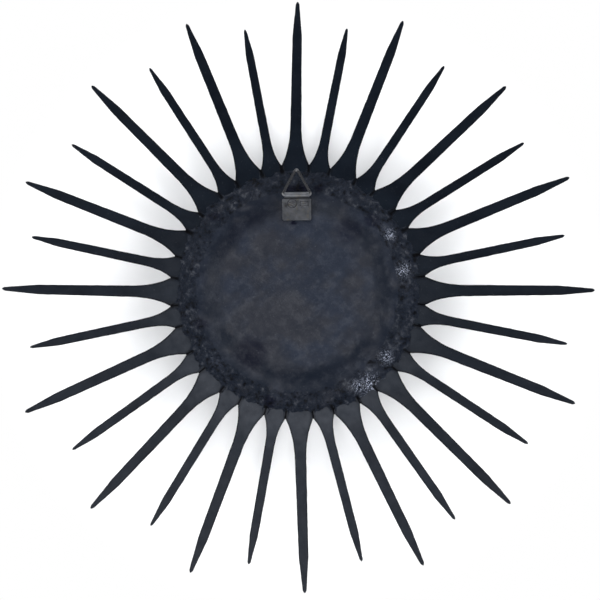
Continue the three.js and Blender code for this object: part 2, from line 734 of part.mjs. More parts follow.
addPiece('movement_cover', plate(coverShape(), coverBack, COVER_THICKNESS), blackPlastic);

// ---------------------------------------------------------------- stepping motor

const STATOR_BACK = -12.4;
const STATOR_THICKNESS = 1.0;
const STATOR_HALF_WIDTH = 10;
const STATOR_ARM = 2.7;
const STATOR_BELOW = 4.6;
const STATOR_ABOVE = 4.4;
const STATOR_TOP = 25;
const COIL_RADIUS = 2.9;
const COIL_Z = 21.6;
const COIL_Y = -14;
const BOARD_BACK = -18.2;
const BOARD_THICKNESS = 1.0;
const BOARD_LEFT = -24;
const BOARD_BOTTOM = 15.3;
const BOARD_TOP = 25.8;
const FOOT_LENGTH = 2;

function stator() {
  const [x, z] = rotorAxis;
  const shape = outlineShape([
    [x - STATOR_HALF_WIDTH, z - STATOR_BELOW],
    [x + STATOR_HALF_WIDTH, z - STATOR_BELOW],
    [x + STATOR_HALF_WIDTH, STATOR_TOP],
    [x + STATOR_HALF_WIDTH - STATOR_ARM, STATOR_TOP],
    [x + STATOR_HALF_WIDTH - STATOR_ARM, z + STATOR_ABOVE],
    [x - STATOR_HALF_WIDTH + STATOR_ARM, z + STATOR_ABOVE],
    [x - STATOR_HALF_WIDTH + STATOR_ARM, STATOR_TOP],
    [x - STATOR_HALF_WIDTH, STATOR_TOP],
  ]);
  shape.holes.push(roundHole(x, z, MAGNET_RADIUS + 2 * GAP));
  return plate(shape, STATOR_BACK, STATOR_THICKNESS, ROUND_SMALL / 2);
}

addPiece('stator', stator(), steel);

// The coil's bobbin stands on the circuit board on two feet.
function coilAndCircuit() {
  const reach = STATOR_HALF_WIDTH - STATOR_ARM - GAP;
  const middle = rotorAxis[0];
  const coil = new THREE.CylinderGeometry(COIL_RADIUS, COIL_RADIUS, 2 * reach, ROUND_SMALL);
  coil.rotateZ(Math.PI / 2);
  coil.translate(middle, COIL_Y, COIL_Z);
  const foot = (left) =>
    block(
      [left, BOARD_BACK - GAP, COIL_Z - COIL_RADIUS / 2],
      [left + FOOT_LENGTH, COIL_Y, COIL_Z + COIL_RADIUS / 2],
    );
  const board = block(
    [BOARD_LEFT, BOARD_BACK - BOARD_THICKNESS, BOARD_BOTTOM],
    [middle + reach, BOARD_BACK, BOARD_TOP],
  );
  return join(board, coil, foot(middle - reach), foot(middle + reach - FOOT_LENGTH));
}

addPiece('coil_and_circuit', coilAndCircuit(), copper);

// ---------------------------------------------------------------- battery and contacts

const batteryY = caseFront + BATTERY_BAY_PLATE + GAP + BATTERY_RADIUS;
const contactOuter = caseInnerHalf - GAP;
const contactInner = contactOuter - CONTACT_THICKNESS;
const nubTip = contactInner - GAP;
const batteryEnd = nubTip - BATTERY_NUB_LENGTH;

// Shapes turned about the hands' axis are laid along X, with their +Y end to the right.
function laidAlongX(geometry) {
  geometry.rotateZ(-Math.PI / 2);
  geometry.translate(0, batteryY, BATTERY_Z);
  return geometry;
}

addPiece(
  'battery',
  laidAlongX(turned([
    [0, batteryEnd - BATTERY_LENGTH],
    [BATTERY_RADIUS, batteryEnd - BATTERY_LENGTH],
    [BATTERY_RADIUS, batteryEnd],
    [BATTERY_NUB_RADIUS, batteryEnd],
    [BATTERY_NUB_RADIUS, nubTip],
    [0, nubTip],
  ], ROUND / 2)),
  cellWrap,
);

function contactPlate(x0, x1) {
  return block(
    [x0, batteryY - CONTACT_HALF_WIDTH, BATTERY_Z - CONTACT_HALF_WIDTH],
    [x1, batteryY + CONTACT_HALF_WIDTH, BATTERY_Z + CONTACT_HALF_WIDTH],
  );
}

addPiece('battery_contact_positive', contactPlate(contactInner, contactOuter), steel);

const springEnd = batteryEnd - BATTERY_LENGTH - GAP;
addPiece(
  'battery_contact_negative',
  join(
    contactPlate(-contactOuter, -contactInner),
    laidAlongX(turned([
      [0, -contactInner - CONTACT_THICKNESS / 2],
      [CONTACT_HALF_WIDTH - 1, -contactInner - CONTACT_THICKNESS / 2],
      [CONTACT_HALF_WIDTH / 2, springEnd],
      [0, springEnd],
    ], ROUND_SMALL)),
  ),
  steel,
);

// ---------------------------------------------------------------- hands

const TURN = 2 * Math.PI;
const secondsTurn = SHOWN_TIME.seconds / 60;
const minutesTurn = (SHOWN_TIME.minutes + secondsTurn) / 60;
const hoursTurn = (SHOWN_TIME.hours + minutesTurn) / 12;

// A hand points along +Z, with a round hub drilled for its pipe and a short tail.
function hand({ length, tail, half, tip, hub, back, thickness }, bore) {
  const tailHalf = half * HAND_TAIL_SHARE;
  const outline = [
    [-tailHalf, -tail],
    [tailHalf, -tail],
    [half, 0],
    [tip, length],
    [-tip, length],
    [-half, 0],
  ];
  const blade = plate(outlineShape(outline), back, thickness);
  return cut(
    join(blade, turnedBand(0, hub, back - thickness, back, ROUND / 2)),
    turnedBand(0, bore, back - thickness - 1, back + 1),
  );
}

function addHand(name, size, bore, turns, look) {
  addPiece(name, hand(size, bore), look).rotation.y = TURN * turns;
}

addHand('hour_hand', HOUR_HAND, HOUR_PIPE[1] + GAP, hoursTurn, handBlack);
addHand('minute_hand', MINUTE_HAND, MINUTE_PIPE[1] + GAP, minutesTurn, handBlack);
addHand('second_hand', SECOND_HAND, SECONDS_ARBOR + GAP, secondsTurn, handRed);

export default clock;
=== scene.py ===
"""Looks of the sunburst wall clock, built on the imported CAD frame. Metres, the row frame's axes.

The clock hangs with its dial towards -Y. The camera stands behind it, at +Y.
"""

import math

import bmesh
import bpy
import numpy as np
from mathutils import Matrix, Vector, noise


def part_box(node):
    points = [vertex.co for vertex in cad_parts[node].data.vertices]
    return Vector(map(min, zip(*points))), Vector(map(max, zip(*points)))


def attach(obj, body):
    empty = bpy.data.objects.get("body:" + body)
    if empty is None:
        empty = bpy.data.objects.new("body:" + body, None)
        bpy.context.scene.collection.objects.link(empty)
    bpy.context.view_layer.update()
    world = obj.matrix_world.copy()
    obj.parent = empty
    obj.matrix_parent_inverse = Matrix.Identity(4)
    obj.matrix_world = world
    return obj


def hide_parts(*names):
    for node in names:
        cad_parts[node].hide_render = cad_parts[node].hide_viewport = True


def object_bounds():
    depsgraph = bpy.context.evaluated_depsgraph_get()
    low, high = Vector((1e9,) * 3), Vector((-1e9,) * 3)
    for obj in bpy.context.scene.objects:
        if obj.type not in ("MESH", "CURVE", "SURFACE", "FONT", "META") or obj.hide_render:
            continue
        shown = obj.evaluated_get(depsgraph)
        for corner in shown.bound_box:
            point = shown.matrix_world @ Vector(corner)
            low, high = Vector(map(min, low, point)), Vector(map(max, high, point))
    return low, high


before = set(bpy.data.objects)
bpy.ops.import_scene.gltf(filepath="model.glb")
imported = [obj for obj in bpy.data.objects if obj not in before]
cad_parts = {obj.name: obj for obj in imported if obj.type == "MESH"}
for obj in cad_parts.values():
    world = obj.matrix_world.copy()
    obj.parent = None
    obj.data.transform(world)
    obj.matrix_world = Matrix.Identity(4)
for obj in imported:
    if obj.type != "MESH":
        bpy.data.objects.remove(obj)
cad_low, cad_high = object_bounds()
MM = 0.001
HAIR = 0.01 * MM  # closer than this is the same place

scene = bpy.context.scene
scene.view_settings.view_transform = "Standard"


def place(name):
    """Lowest and highest corner of a CAD node at rest."""
    low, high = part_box(name)
    return Vector(low), Vector(high)


def node_object(name):
    return bpy.data.objects[name]


# ---- camera

BLADE_BACK = place("ray_01")[1].y
CAMERA_DISTANCE = 0.70
CAMERA_BELOW = math.radians(4.6)
CAMERA_ASIDE = math.radians(0.36)
CAMERA_ROLL = math.radians(0.6)
CAMERA_LENS = 61.0
CAMERA_SHIFT = (0.0037, -0.0157)


def add_camera():
    """The camera looks at the middle of the blades from a little below and hardly aside."""
    data = bpy.data.cameras.new("camera")
    data.lens = CAMERA_LENS
    data.shift_x, data.shift_y = CAMERA_SHIFT
    camera = bpy.data.objects.new("camera", data)
    scene.collection.objects.link(camera)
    back = Vector((-math.sin(CAMERA_ASIDE), math.cos(CAMERA_BELOW), -math.sin(CAMERA_BELOW))).normalized()
    right = Vector((0, 0, 1)).cross(back).normalized()
    up = back.cross(right)
    rolled_right = right * math.cos(CAMERA_ROLL) - up * math.sin(CAMERA_ROLL)
    rolled_up = right * math.sin(CAMERA_ROLL) + up * math.cos(CAMERA_ROLL)
    turn = Matrix((rolled_right, rolled_up, back)).transposed().to_4x4()
    target = Vector((0, BLADE_BACK, 0))
    camera.matrix_world = Matrix.Translation(target + back * CAMERA_DISTANCE) @ turn
    scene.camera = camera


add_camera()

# ---- node helpers


NOISE_TURN = (0.5, 0.8, 0.3)  # keeps the noise's own grid off the object's axes


class Surface:
    """A Principled material and short calls for the procedural nodes that feed it."""

    def __init__(self, name, metallic=0.0, **sockets):
        self.material = bpy.data.materials.new(name)
        self.material.use_nodes = True
        self.tree = self.material.node_tree
        self.shader = self.tree.nodes["Principled BSDF"]
        self.shader.inputs["Metallic"].default_value = metallic
        for socket, value in sockets.items():
            self.shader.inputs[socket.replace("_", " ")].default_value = value
        self.coordinates = self.node("TexCoord")
        self.relief = None

    def node(self, kind, **values):
        """Adds a shader node and sets its inputs, named with underscores for spaces."""
        node = self.tree.nodes.new("ShaderNode" + kind)
        for name, value in values.items():
            node.inputs[name.replace("_", " ")].default_value = value
        return node

    def link(self, source, target):
        self.tree.links.new(source, target)

    def noise(self, size, stretch=(1, 1, 1), detail=4.0, roughness=0.55):
        """Noise whose features are about size metres, drawn out along the axes by stretch."""
        mapping = self.node("Mapping", Scale=[1 / (size * pull) for pull in stretch])
        if stretch == (1, 1, 1):
            mapping.inputs["Rotation"].default_value = NOISE_TURN
        self.link(self.coordinates.outputs["Object"], mapping.inputs["Vector"])
        texture = self.node("TexNoise", Scale=1.0, Detail=detail, Roughness=roughness)
        self.link(mapping.outputs["Vector"], texture.inputs["Vector"])
        return texture.outputs["Fac"]

    def patches(self, size, low=0.0, high=1.0, *limits, **kind):
        """Noise of about size metres, spread to low..high."""
        return self.spread(self.noise(size, **kind), low, high, *limits)

    def attribute(self, name):
        node = self.node("Attribute")
        node.attribute_name = name
        return node.outputs["Fac"]

    def spread(self, value, low, high, start=0.3, end=0.7):
        """Maps value from start..end to low..high."""
        node = self.node("MapRange", From_Min=start, From_Max=end, To_Min=low, To_Max=high)
        self.link(value, node.inputs["Value"])
        return node.outputs["Result"]

    def math(self, operation, first, second):
        node = self.node("Math")
        node.operation = operation
        for socket, value in zip(node.inputs, (first, second)):
            if isinstance(value, (int, float)):
                socket.default_value = value
            else:
                self.link(value, socket)
        return node.outputs["Value"]

    def mix(self, share, first, second):
        """Mixes two colours, each a tuple or a socket."""
        node = self.node("Mix")
        node.data_type = "RGBA"
        self.link(share, node.inputs["Factor"])
        for socket, value in ((node.inputs[6], first), (node.inputs[7], second)):
            if isinstance(value, tuple):
                socket.default_value = (*value, 1.0)
            else:
                self.link(value, socket)
        return node.outputs[2]

    def colour(self, value):
        if isinstance(value, tuple):
            self.shader.inputs["Base Color"].default_value = (*value, 1.0)
        else:
            self.link(value, self.shader.inputs["Base Color"])

    def roughness(self, value):
        self.link(value, self.shader.inputs["Roughness"])

    def bump(self, height, depth, strength=1.0):
        """Adds relief of about depth metres on top of what is already there."""
        node = self.node("Bump", Strength=strength, Distance=depth)
        self.link(height, node.inputs["Height"])
        if self.relief is not None:
            self.link(self.relief, node.inputs["Normal"])
        self.relief = node.outputs["Normal"]
        self.link(self.relief, self.shader.inputs["Normal"])


# ---- materials

BLADE_DARK = (0.0018, 0.0029, 0.0052)
BLADE_LIGHT = (0.0040, 0.0061, 0.0098)
PAINT_DEEP = (0.0052, 0.0074, 0.0128)
# The two pale tones next give paler patches and, on the pan's flat middle, a painted sheen.
PAINT_FILM = (0.0158, 0.0194, 0.0292)
WARM_FILM = (0.0200, 0.0205, 0.0245)
# Dark blue for stains and for painted shade and shadow.
INK_BLUE = (0.0020, 0.0026, 0.0075)
BLACK = (0.0006, 0.0006, 0.0009)
# A pale grey for dust, for painted sheen and for painted highlights.
DUST = (0.060, 0.064, 0.074)
# Bluish white for painted glints.
SPECKLE = (0.55, 0.60, 0.74)


def blade_paint():
    """Brushed enamel: fine strokes along the blade, thin spots, dark edges as painted shade, a little dust
    and a painted sheen on the roots and on the blades that point down.
    """
    look = Surface("blade_paint", IOR=1.30)
    base = look.mix(look.patches(0.016, stretch=(2.0, 1, 1)), BLADE_DARK, BLADE_LIGHT)
    dust = look.patches(0.0011, 0.0, 0.5, 0.66, 0.80, detail=2.0)
    streaks = look.patches(0.006, 0.7, 1.3, 0.3, 0.7, detail=5.0)
    # Painted sheen, streaky, on the roots and on the blades that point down.
    filmed = look.mix(look.math("MULTIPLY", look.attribute("film"), streaks), base, DUST)
    dusty = look.mix(dust, filmed, DUST)
    # Painted shade: the edges darkened towards black.
    look.colour(look.mix(look.math("MULTIPLY", look.attribute("edge"), 0.92), dusty, BLACK))
    rough = look.patches(0.006, 0.36, 0.58)
    look.roughness(look.math("ADD", rough, look.math("MULTIPLY", look.attribute("edge"), 0.3)))
    look.bump(look.noise(0.0040, detail=4.0, roughness=0.6), 0.00025, 0.8)
    look.bump(look.noise(0.0014, detail=2.0), 0.00010, 0.7)
    return look.material


def painted_base(look):
    """The enamel of the pan and the filler: pale patches and a painted sheen over deep paint, warm in places,
    with stains and painted shade.
    """
    mottle = look.patches(0.014, 0.0, 1.0, 0.32, 0.68, detail=8.0, roughness=0.76)
    film = look.mix(look.patches(0.024, 0.0, 0.8, 0.42, 0.60), PAINT_FILM, WARM_FILM)
    # On the pan's flat middle this pale share is a painted sheen; elsewhere it lies in patches.
    share = look.math("MULTIPLY", look.attribute("film"), look.spread(mottle, 0.52, 1.20, 0.0, 1.0))
    base = look.mix(share, PAINT_DEEP, film)
    # Darker blue where stained and where shade and shadow are painted.
    return look.mix(look.attribute("stain"), base, INK_BLUE)


def pan_paint():
    """Thick enamel on the pan: soft smears, orange peel, fine grit."""
    look = Surface("pan_paint", IOR=1.40)
    smear = look.noise(0.007, detail=8.0, roughness=0.74)
    haze = look.spread(smear, 0.0, 0.20, 0.50, 0.70)
    grit = look.patches(0.0010, 0.0, 0.9, 0.66, 0.76, detail=2.0)
    look.colour(look.mix(look.math("ADD", haze, look.math("MULTIPLY", grit, 0.5)), painted_base(look), DUST))
    look.roughness(look.spread(smear, 0.34, 0.58))
    look.bump(look.noise(0.0055, detail=5.0, roughness=0.62), 0.0008, 0.8)
    look.bump(look.noise(0.0013, detail=2.0), 0.00010, 0.7)
    return look.material


def filler_paint():
    """Enamel over lumpy filler: painted shade in low spots and painted highlights on high spots, painted
    glints where the paint ran thick, and black pits as painted shade.
    """
    look = Surface("filler_paint", IOR=1.42)
    gloss = look.attribute("gloss")
    lumps = look.noise(0.0042, detail=7.0, roughness=0.70)
    # Painted shade in the low spots of the lumps, painted highlights on their high spots.
    hollows = look.spread(lumps, 0.9, 0.0, 0.38, 0.47)
    sunk = look.mix(hollows, painted_base(look), BLACK)
    worn = look.spread(lumps, 0.0, 0.55, 0.54, 0.68)
    dusty = look.mix(worn, sunk, DUST)
    # Painted glints in the glossy patches.
    flecks = look.patches(0.0009, 0.0, 1.0, 0.54, 0.60, detail=6.0, roughness=0.85)
    flecked = look.mix(look.math("MULTIPLY", flecks, gloss), dusty, SPECKLE)
    # Painted shade: black in the pits at the saw cuts.
    look.colour(look.mix(look.attribute("pit"), flecked, BLACK))
    rough = look.patches(0.004, 0.26, 0.60, detail=5.0)
    soft = look.math("ADD", rough, look.math("MULTIPLY", look.attribute("pit"), 0.5))
    look.roughness(look.math("SUBTRACT", soft, look.math("MULTIPLY", gloss, 0.15)))
    look.bump(look.noise(0.0036, detail=6.0, roughness=0.66), 0.0022)
    look.bump(look.noise(0.0010, detail=3.0), 0.00018)
    return look.material


def rim_enamel():
    """Smoother sprayed enamel for the hub and the bezel."""
    look = Surface("rim_enamel", IOR=1.45, Coat_Weight=0.15, Coat_Roughness=0.2)
    look.colour(look.mix(look.patches(0.02), PAINT_DEEP, PAINT_FILM))
    look.roughness(look.patches(0.005, 0.26, 0.36))
    look.bump(look.noise(0.0018, detail=2.0), 0.00005, 0.6)
    return look.material


def strap_metal():
    """Grey plated strip with rolling marks, darker patches, painted shade below the eye and over the flat,
    and a little straw heat colour.
    """
    look = Surface("strap_metal", metallic=0.86)
    steel = look.mix(look.patches(0.0045), (0.20, 0.21, 0.23), (0.38, 0.39, 0.42))
    straw = look.patches(0.0030, 0.0, 0.40, 0.56, 0.70, detail=2.0)
    tinted = look.mix(straw, steel, (0.40, 0.34, 0.22))
    # Darker in the marks and upper patches; painted shade in the fold under the eye and over the flat.
    soiled = look.mix(look.attribute("soil"), tinted, (0.035, 0.035, 0.040))
    look.colour(soiled)
    look.roughness(look.patches(0.0014, 0.30, 0.50, stretch=(5, 1, 1)))
    look.bump(look.noise(0.0005, stretch=(12, 1, 1)), 0.00003, 0.6)
    look.bump(look.noise(0.0024, detail=3.0), 0.00008, 0.6)
    return look.material


def ring_metal():
    """Plated wire, painted bright on the bar and its corners as a painted highlight, darker bronze along the
    legs.
    """
    look = Surface("ring_metal", metallic=0.86)
    worn = look.patches(0.0035, 0.0, 0.5, 0.42, 0.62, detail=3.0)
    # Painted highlight on the bar and corners, painted shade along the legs, with random wear.
    dull = look.math("MINIMUM", look.math("ADD", worn, look.attribute("dull")), 1.0)
    look.colour(look.mix(dull, (0.62, 0.62, 0.63), (0.125, 0.125, 0.132)))
    look.roughness(look.patches(0.0015, 0.22, 0.40))
    look.bump(look.noise(0.0006, detail=2.0), 0.00003, 0.6)
    return look.material


def lens_glass():
    look = Surface("lens_glass", IOR=1.47, Transmission_Weight=1.0)
    look.colour((0.985, 0.995, 0.99))
    look.roughness(look.patches(0.05, 0.0, 0.015))
    return look.material


GRAIN = 0.0008


def plain_surface(name, light, dark, rough, metallic=0.0):
    """A small-part material: two close tones, uneven roughness and a fine grain."""
    look = Surface(name, metallic=metallic)
    look.colour(look.mix(look.patches(12 * GRAIN), dark, light))
    look.roughness(look.patches(4 * GRAIN, *rough))
    look.bump(look.noise(GRAIN, detail=2.0), 0.00003, 0.7)
    return look.material


def turned_brass():
    look = Surface("turned_brass", metallic=1.0)
    look.colour(look.mix(look.patches(0.004), (0.62, 0.44, 0.17), (0.74, 0.56, 0.26)))
    look.roughness(look.patches(0.001, 0.2, 0.34, stretch=(1, 8, 1)))
    look.bump(look.noise(0.0003, stretch=(12, 1, 12)), 0.00002, 0.5)
    return look.material


def cell_sleeve():
    """Plain shrink sleeve of the battery: a dark body with a coppery end, no lettering."""
    look = Surface("cell_sleeve", IOR=1.5)
    split = look.node("SeparateXYZ")
    look.link(look.coordinates.outputs["Object"], split.inputs[0])
    band = look.spread(split.outputs["X"], 0.0, 1.0, 0.0095, 0.0098)
    body = look.mix(look.patches(0.01), (0.018, 0.022, 0.03), (0.03, 0.035, 0.045))
    look.colour(look.mix(band, body, (0.50, 0.22, 0.09)))
    look.roughness(look.patches(0.004, 0.22, 0.36))
    return look.material


def coil_winding():
    """Enamelled copper wire on a bobbin: fine turns across its length."""
    look = Surface("coil_winding", metallic=0.7)
    look.colour(look.mix(look.patches(0.002), (0.36, 0.12, 0.04), (0.55, 0.22, 0.09)))
    look.roughness(look.patches(0.001, 0.3, 0.45))
    look.bump(look.noise(0.00018, stretch=(1, 20, 20)), 0.00004)
    return look.material


# Each plain material: light tone, dark tone, range of roughness and, for metal, how metallic it is.
PLAIN = {
    "dial_paper": ((0.80, 0.77, 0.69), (0.76, 0.73, 0.64), (0.6, 0.75)),
    "dial_print": ((0.012, 0.012, 0.014), (0.02, 0.02, 0.022), (0.5, 0.65)),
    "black_plastic": ((0.022, 0.022, 0.024), (0.014, 0.014, 0.016), (0.45, 0.6)),
    "white_plastic": ((0.74, 0.72, 0.66), (0.68, 0.66, 0.60), (0.3, 0.42)),
    "stamped_steel": ((0.46, 0.46, 0.47), (0.34, 0.34, 0.36), (0.25, 0.4), 1.0),
    "bonded_magnet": ((0.05, 0.05, 0.055), (0.03, 0.03, 0.035), (0.45, 0.6), 0.4),
    "hand_black": ((0.012, 0.012, 0.013), (0.008, 0.008, 0.009), (0.28, 0.4)),
    "hand_red": ((0.40, 0.022, 0.016), (0.33, 0.016, 0.012), (0.28, 0.4)),
}
MATERIALS = {name: plain_surface(name, *tones) for name, tones in PLAIN.items()}
MATERIALS.update(
    blade=blade_paint(), pan=pan_paint(), filler=filler_paint(), rim=rim_enamel(), strap=strap_metal(),
    ring=ring_metal(), lens=lens_glass(), brass=turned_brass(), cell=cell_sleeve(), coil=coil_winding(),
)

# ---- mesh helpers


def paint_values(piece, **fields):
    """Stores one number per vertex for each named field, which a material reads."""
    for name, numbers in fields.items():
        values = piece.data.attributes.new(name, "FLOAT", "POINT")
        values.data.foreach_set("value", numbers)


def turns(count):
    """Evenly spaced angles all the way round, in radians."""
    return [2 * math.pi * step / count for step in range(count)]


def grid_faces(rows, columns, wrap_rows=False, wrap_columns=False):
    """Quads of a rows x columns grid of vertices, numbered row by row."""
    faces = []
    for row in range(rows if wrap_rows else rows - 1):
        for column in range(columns if wrap_columns else columns - 1):
            a = row * columns + column
            b = row * columns + (column + 1) % columns
            c = ((row + 1) % rows) * columns + (column + 1) % columns
            d = ((row + 1) % rows) * columns + column
            faces.append((a, b, c, d))
    return faces


def two_layers(faces, shift):
    """The faces of a grid and, turned over, the same faces of a second one numbered shift further on."""
    return faces + [tuple(v + shift for v in reversed(face)) for face in faces]


def outward(piece):
    """Turns all faces of a closed piece to point outwards."""
    work = bmesh.new()
    work.from_mesh(piece.data)
    bmesh.ops.recalc_face_normals(work, faces=work.faces)
    work.to_mesh(piece.data)
    work.free()


def new_piece(name, vertices, faces, material, body, record_slot, replaced=(), smooth=True, **fields):
    """Makes a closed mesh piece with its material and its values per vertex, and puts it on its body."""
    mesh = bpy.data.meshes.new(name)
    mesh.from_pydata([tuple(v) for v in vertices], [], faces)
    mesh.validate()
    mesh.materials.append(MATERIALS[material])
    if smooth:
        mesh.shade_smooth()
    piece = bpy.data.objects.new(name, mesh)
    scene.collection.objects.link(piece)
    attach(piece, body)
    if replaced:
        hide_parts(*replaced)
    paint_values(piece, **fields)
    outward(piece)


def soften_edges(piece, width):
    """Rounds the sharp edges with a bevel and shades the rest smooth."""
    bevel = piece.modifiers.new("edge_rounding", "BEVEL")
    bevel.width = width
    bevel.segments = 2
    bevel.limit_method = "ANGLE"
    bevel.angle_limit = math.radians(35)
    bevel.harden_normals = True
    piece.data.shade_smooth()


def ripple(point, size, octaves=4):
    """Fractal noise in about -1..1 with features of about size metres."""
    return noise.fractal(Vector(point) / size, 0.9, 2.1, octaves)


def soft_step(value, start, end):
    """Rises smoothly from 0 at start to 1 at end."""
    share = min(1.0, max(0.0, (value - start) / (end - start)))
    return share * share * (3 - 2 * share)


def bell(value, width, power=2):
    """1 at zero, falling off smoothly within about width."""
    return math.exp(-(abs(value / width) ** power))


def lathe_profile(name):
    """The closed (radius, depth) outline of a turned CAD node, read from one of its facet columns."""
    work = bmesh.new()
    work.from_mesh(node_object(name).data)
    bmesh.ops.remove_doubles(work, verts=work.verts, dist=2 * HAIR)

    def radius(v):
        return math.hypot(v.co.x, v.co.z)

    rim = max(work.verts, key=radius)
    angle = math.atan2(rim.co.z, rim.co.x)
    across = Vector((-math.sin(angle), 0, math.cos(angle)))
    along = Vector((math.cos(angle), 0, math.sin(angle)))
    flat = {v for v in work.verts if abs(v.co.dot(across)) < HAIR and v.co.dot(along) > -HAIR}
    neighbours = {v: [e.other_vert(v) for e in v.link_edges if e.other_vert(v) in flat] for v in flat}
    start = min(flat, key=lambda v: (radius(v), v.co.y))
    loop, previous, current = [start], None, start
    while True:
        onward = [v for v in neighbours[current] if v is not previous and (v not in loop or v is start)]
        onward.sort(key=lambda v: v is start)
        if not onward or onward[0] is start:
            break
        previous, current = current, onward[0]
        loop.append(current)
    outline = [(radius(v), v.co.y) for v in loop]
    work.free()
    return outline


def curved(first, corner, last, steps):
    """Points of a bend that leaves first towards corner and arrives at last."""
    shares = [step / steps for step in range(steps + 1)]
    return [first * (1 - t) ** 2 + corner * 2 * t * (1 - t) + last * t * t for t in shares]


LEAST_TURN = 20  # degrees; an outline's gentler corners stay as they are


def rounded_outline(outline, corner):
    """Rounds each corner of a closed outline, but none on the axis."""
    points = [Vector(p) for p in outline]
    result = []
    for i, point in enumerate(points):
        before = points[i - 1] - point
        after = points[(i + 1) % len(points)] - point
        turn = math.degrees(before.angle(-after, 0.0))
        if turn < LEAST_TURN or point.x < HAIR:
            result.append(point)
            continue
        reach = min(corner, before.length * 0.45, after.length * 0.45)
        first = point + before.normalized() * reach
        last = point + after.normalized() * reach
        result += curved(first, point, last, 4)
    return result


SPIN_AROUND = 240


def spin(name, outline, material, body, record_slot, replaced):
    """Turns an outline, closed on itself or ending on the axis, round the hands' axis."""
    axis_ends = outline[0][0] < HAIR
    ring = outline[1:-1] if axis_ends else outline
    vertices = []
    for angle in turns(SPIN_AROUND):
        vertices += [(r * math.cos(angle), y, r * math.sin(angle)) for r, y in ring]
    faces = grid_faces(SPIN_AROUND, len(ring), wrap_rows=True, wrap_columns=not axis_ends)
    if axis_ends:
        starts = [step * len(ring) for step in range(SPIN_AROUND)]
        for end, column in ((outline[0], 0), (outline[-1], len(ring) - 1)):
            pole = len(vertices)
            vertices.append((0, end[1], 0))
            faces += [(pole, here + column, starts[i - 1] + column) for i, here in enumerate(starts)]
    new_piece(name, vertices, faces, material, body, record_slot, replaced)


# ---- blades

BLADES = [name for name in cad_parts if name.startswith("ray_")]
BLADE_ACROSS = 9  # points across each face
EDGE_STEPS = (30, 60, 90, 120, 150)  # degrees round the edge
EDGE_ROUND = 0.25 * MM
EDGE_WAVER = 0.13 * MM  # how far the cut edges wander
FACE_SWELL = 0.10 * MM
EASE = 1.6 * MM  # reach of the easing of the edges' corners
THINNEST = 0.04 * MM
NOTCH = 88.5 * MM
FLARE = 26 * MM
TIP = 3 * MM
CUP = 0.22 * MM
DUSTY_SIDE = Vector((0.18, 0, -1))  # the blades that point this way get the most painted sheen
BLADE_DUST = 0.18
ROOT_DUST = 0.22
BESIDE_EDGE = 0.55  # how dark the painted shade is just inside an edge
CUP_AT = 9 * MM
CUP_REACH = 9 * MM


def blade_turn(name):
    """The turn about the hands' axis that brings a blade laid along +X to its own place."""
    step = int(name.split("_")[1]) - 1
    return Matrix.Rotation(-2 * math.pi * step / len(BLADES), 4, "Y")


def blade_edges(name, turn):
    """A CAD blade's lower and upper edge, each as (along, across) arrays in the blade's own axes."""
    back = place(name)[1].y
    inverse = turn.inverted()
    found = [inverse @ v.co for v in node_object(name).data.vertices if v.co.y > back - 0.05 * MM]
    spots = {(round(spot.x, 6), round(spot.z, 6)): spot for spot in found}
    spots = sorted(spots.values(), key=lambda spot: spot.x)
    root_x, root_z = (spots[0].x + spots[1].x) / 2, (spots[0].z + spots[1].z) / 2
    tip = spots[-1]
    slope = (tip.z - root_z) / (tip.x - root_x)
    edges = []
    for side in (-1, 1):
        edge = [spot for spot in spots if side * (spot.z - root_z - slope * (spot.x - root_x)) > 0.05 * MM]
        edge.append(tip)
        edges.append((np.array([spot.x for spot in edge]), np.array([spot.z for spot in edge])))
    return edges


def blade_stations(start, end):
    root = np.linspace(start, NOTCH, 12, endpoint=False)
    flare = np.linspace(NOTCH, NOTCH + FLARE, 44, endpoint=False)
    shaft = np.linspace(NOTCH + FLARE, end - TIP, 46, endpoint=False)
    point = end - TIP * (1 - np.sin(np.linspace(0, math.pi / 2, 12)))
    return np.concatenate([root, flare, shaft, point])


def smoothed(stations, edge, end):
    """An edge at the stations, with the corners of its curves eased between the root and the tip."""
    plain = np.interp(stations, *edge)
    reach = np.linspace(-EASE, EASE, 9)
    eased = np.array([np.mean(np.interp(x + reach, *edge)) for x in stations])
    share = np.clip((stations - NOTCH) / (3 * MM), 0, 1) * np.clip((end - 4 * MM - stations) / (3 * MM), 0, 1)
    return plain + (eased - plain) * share


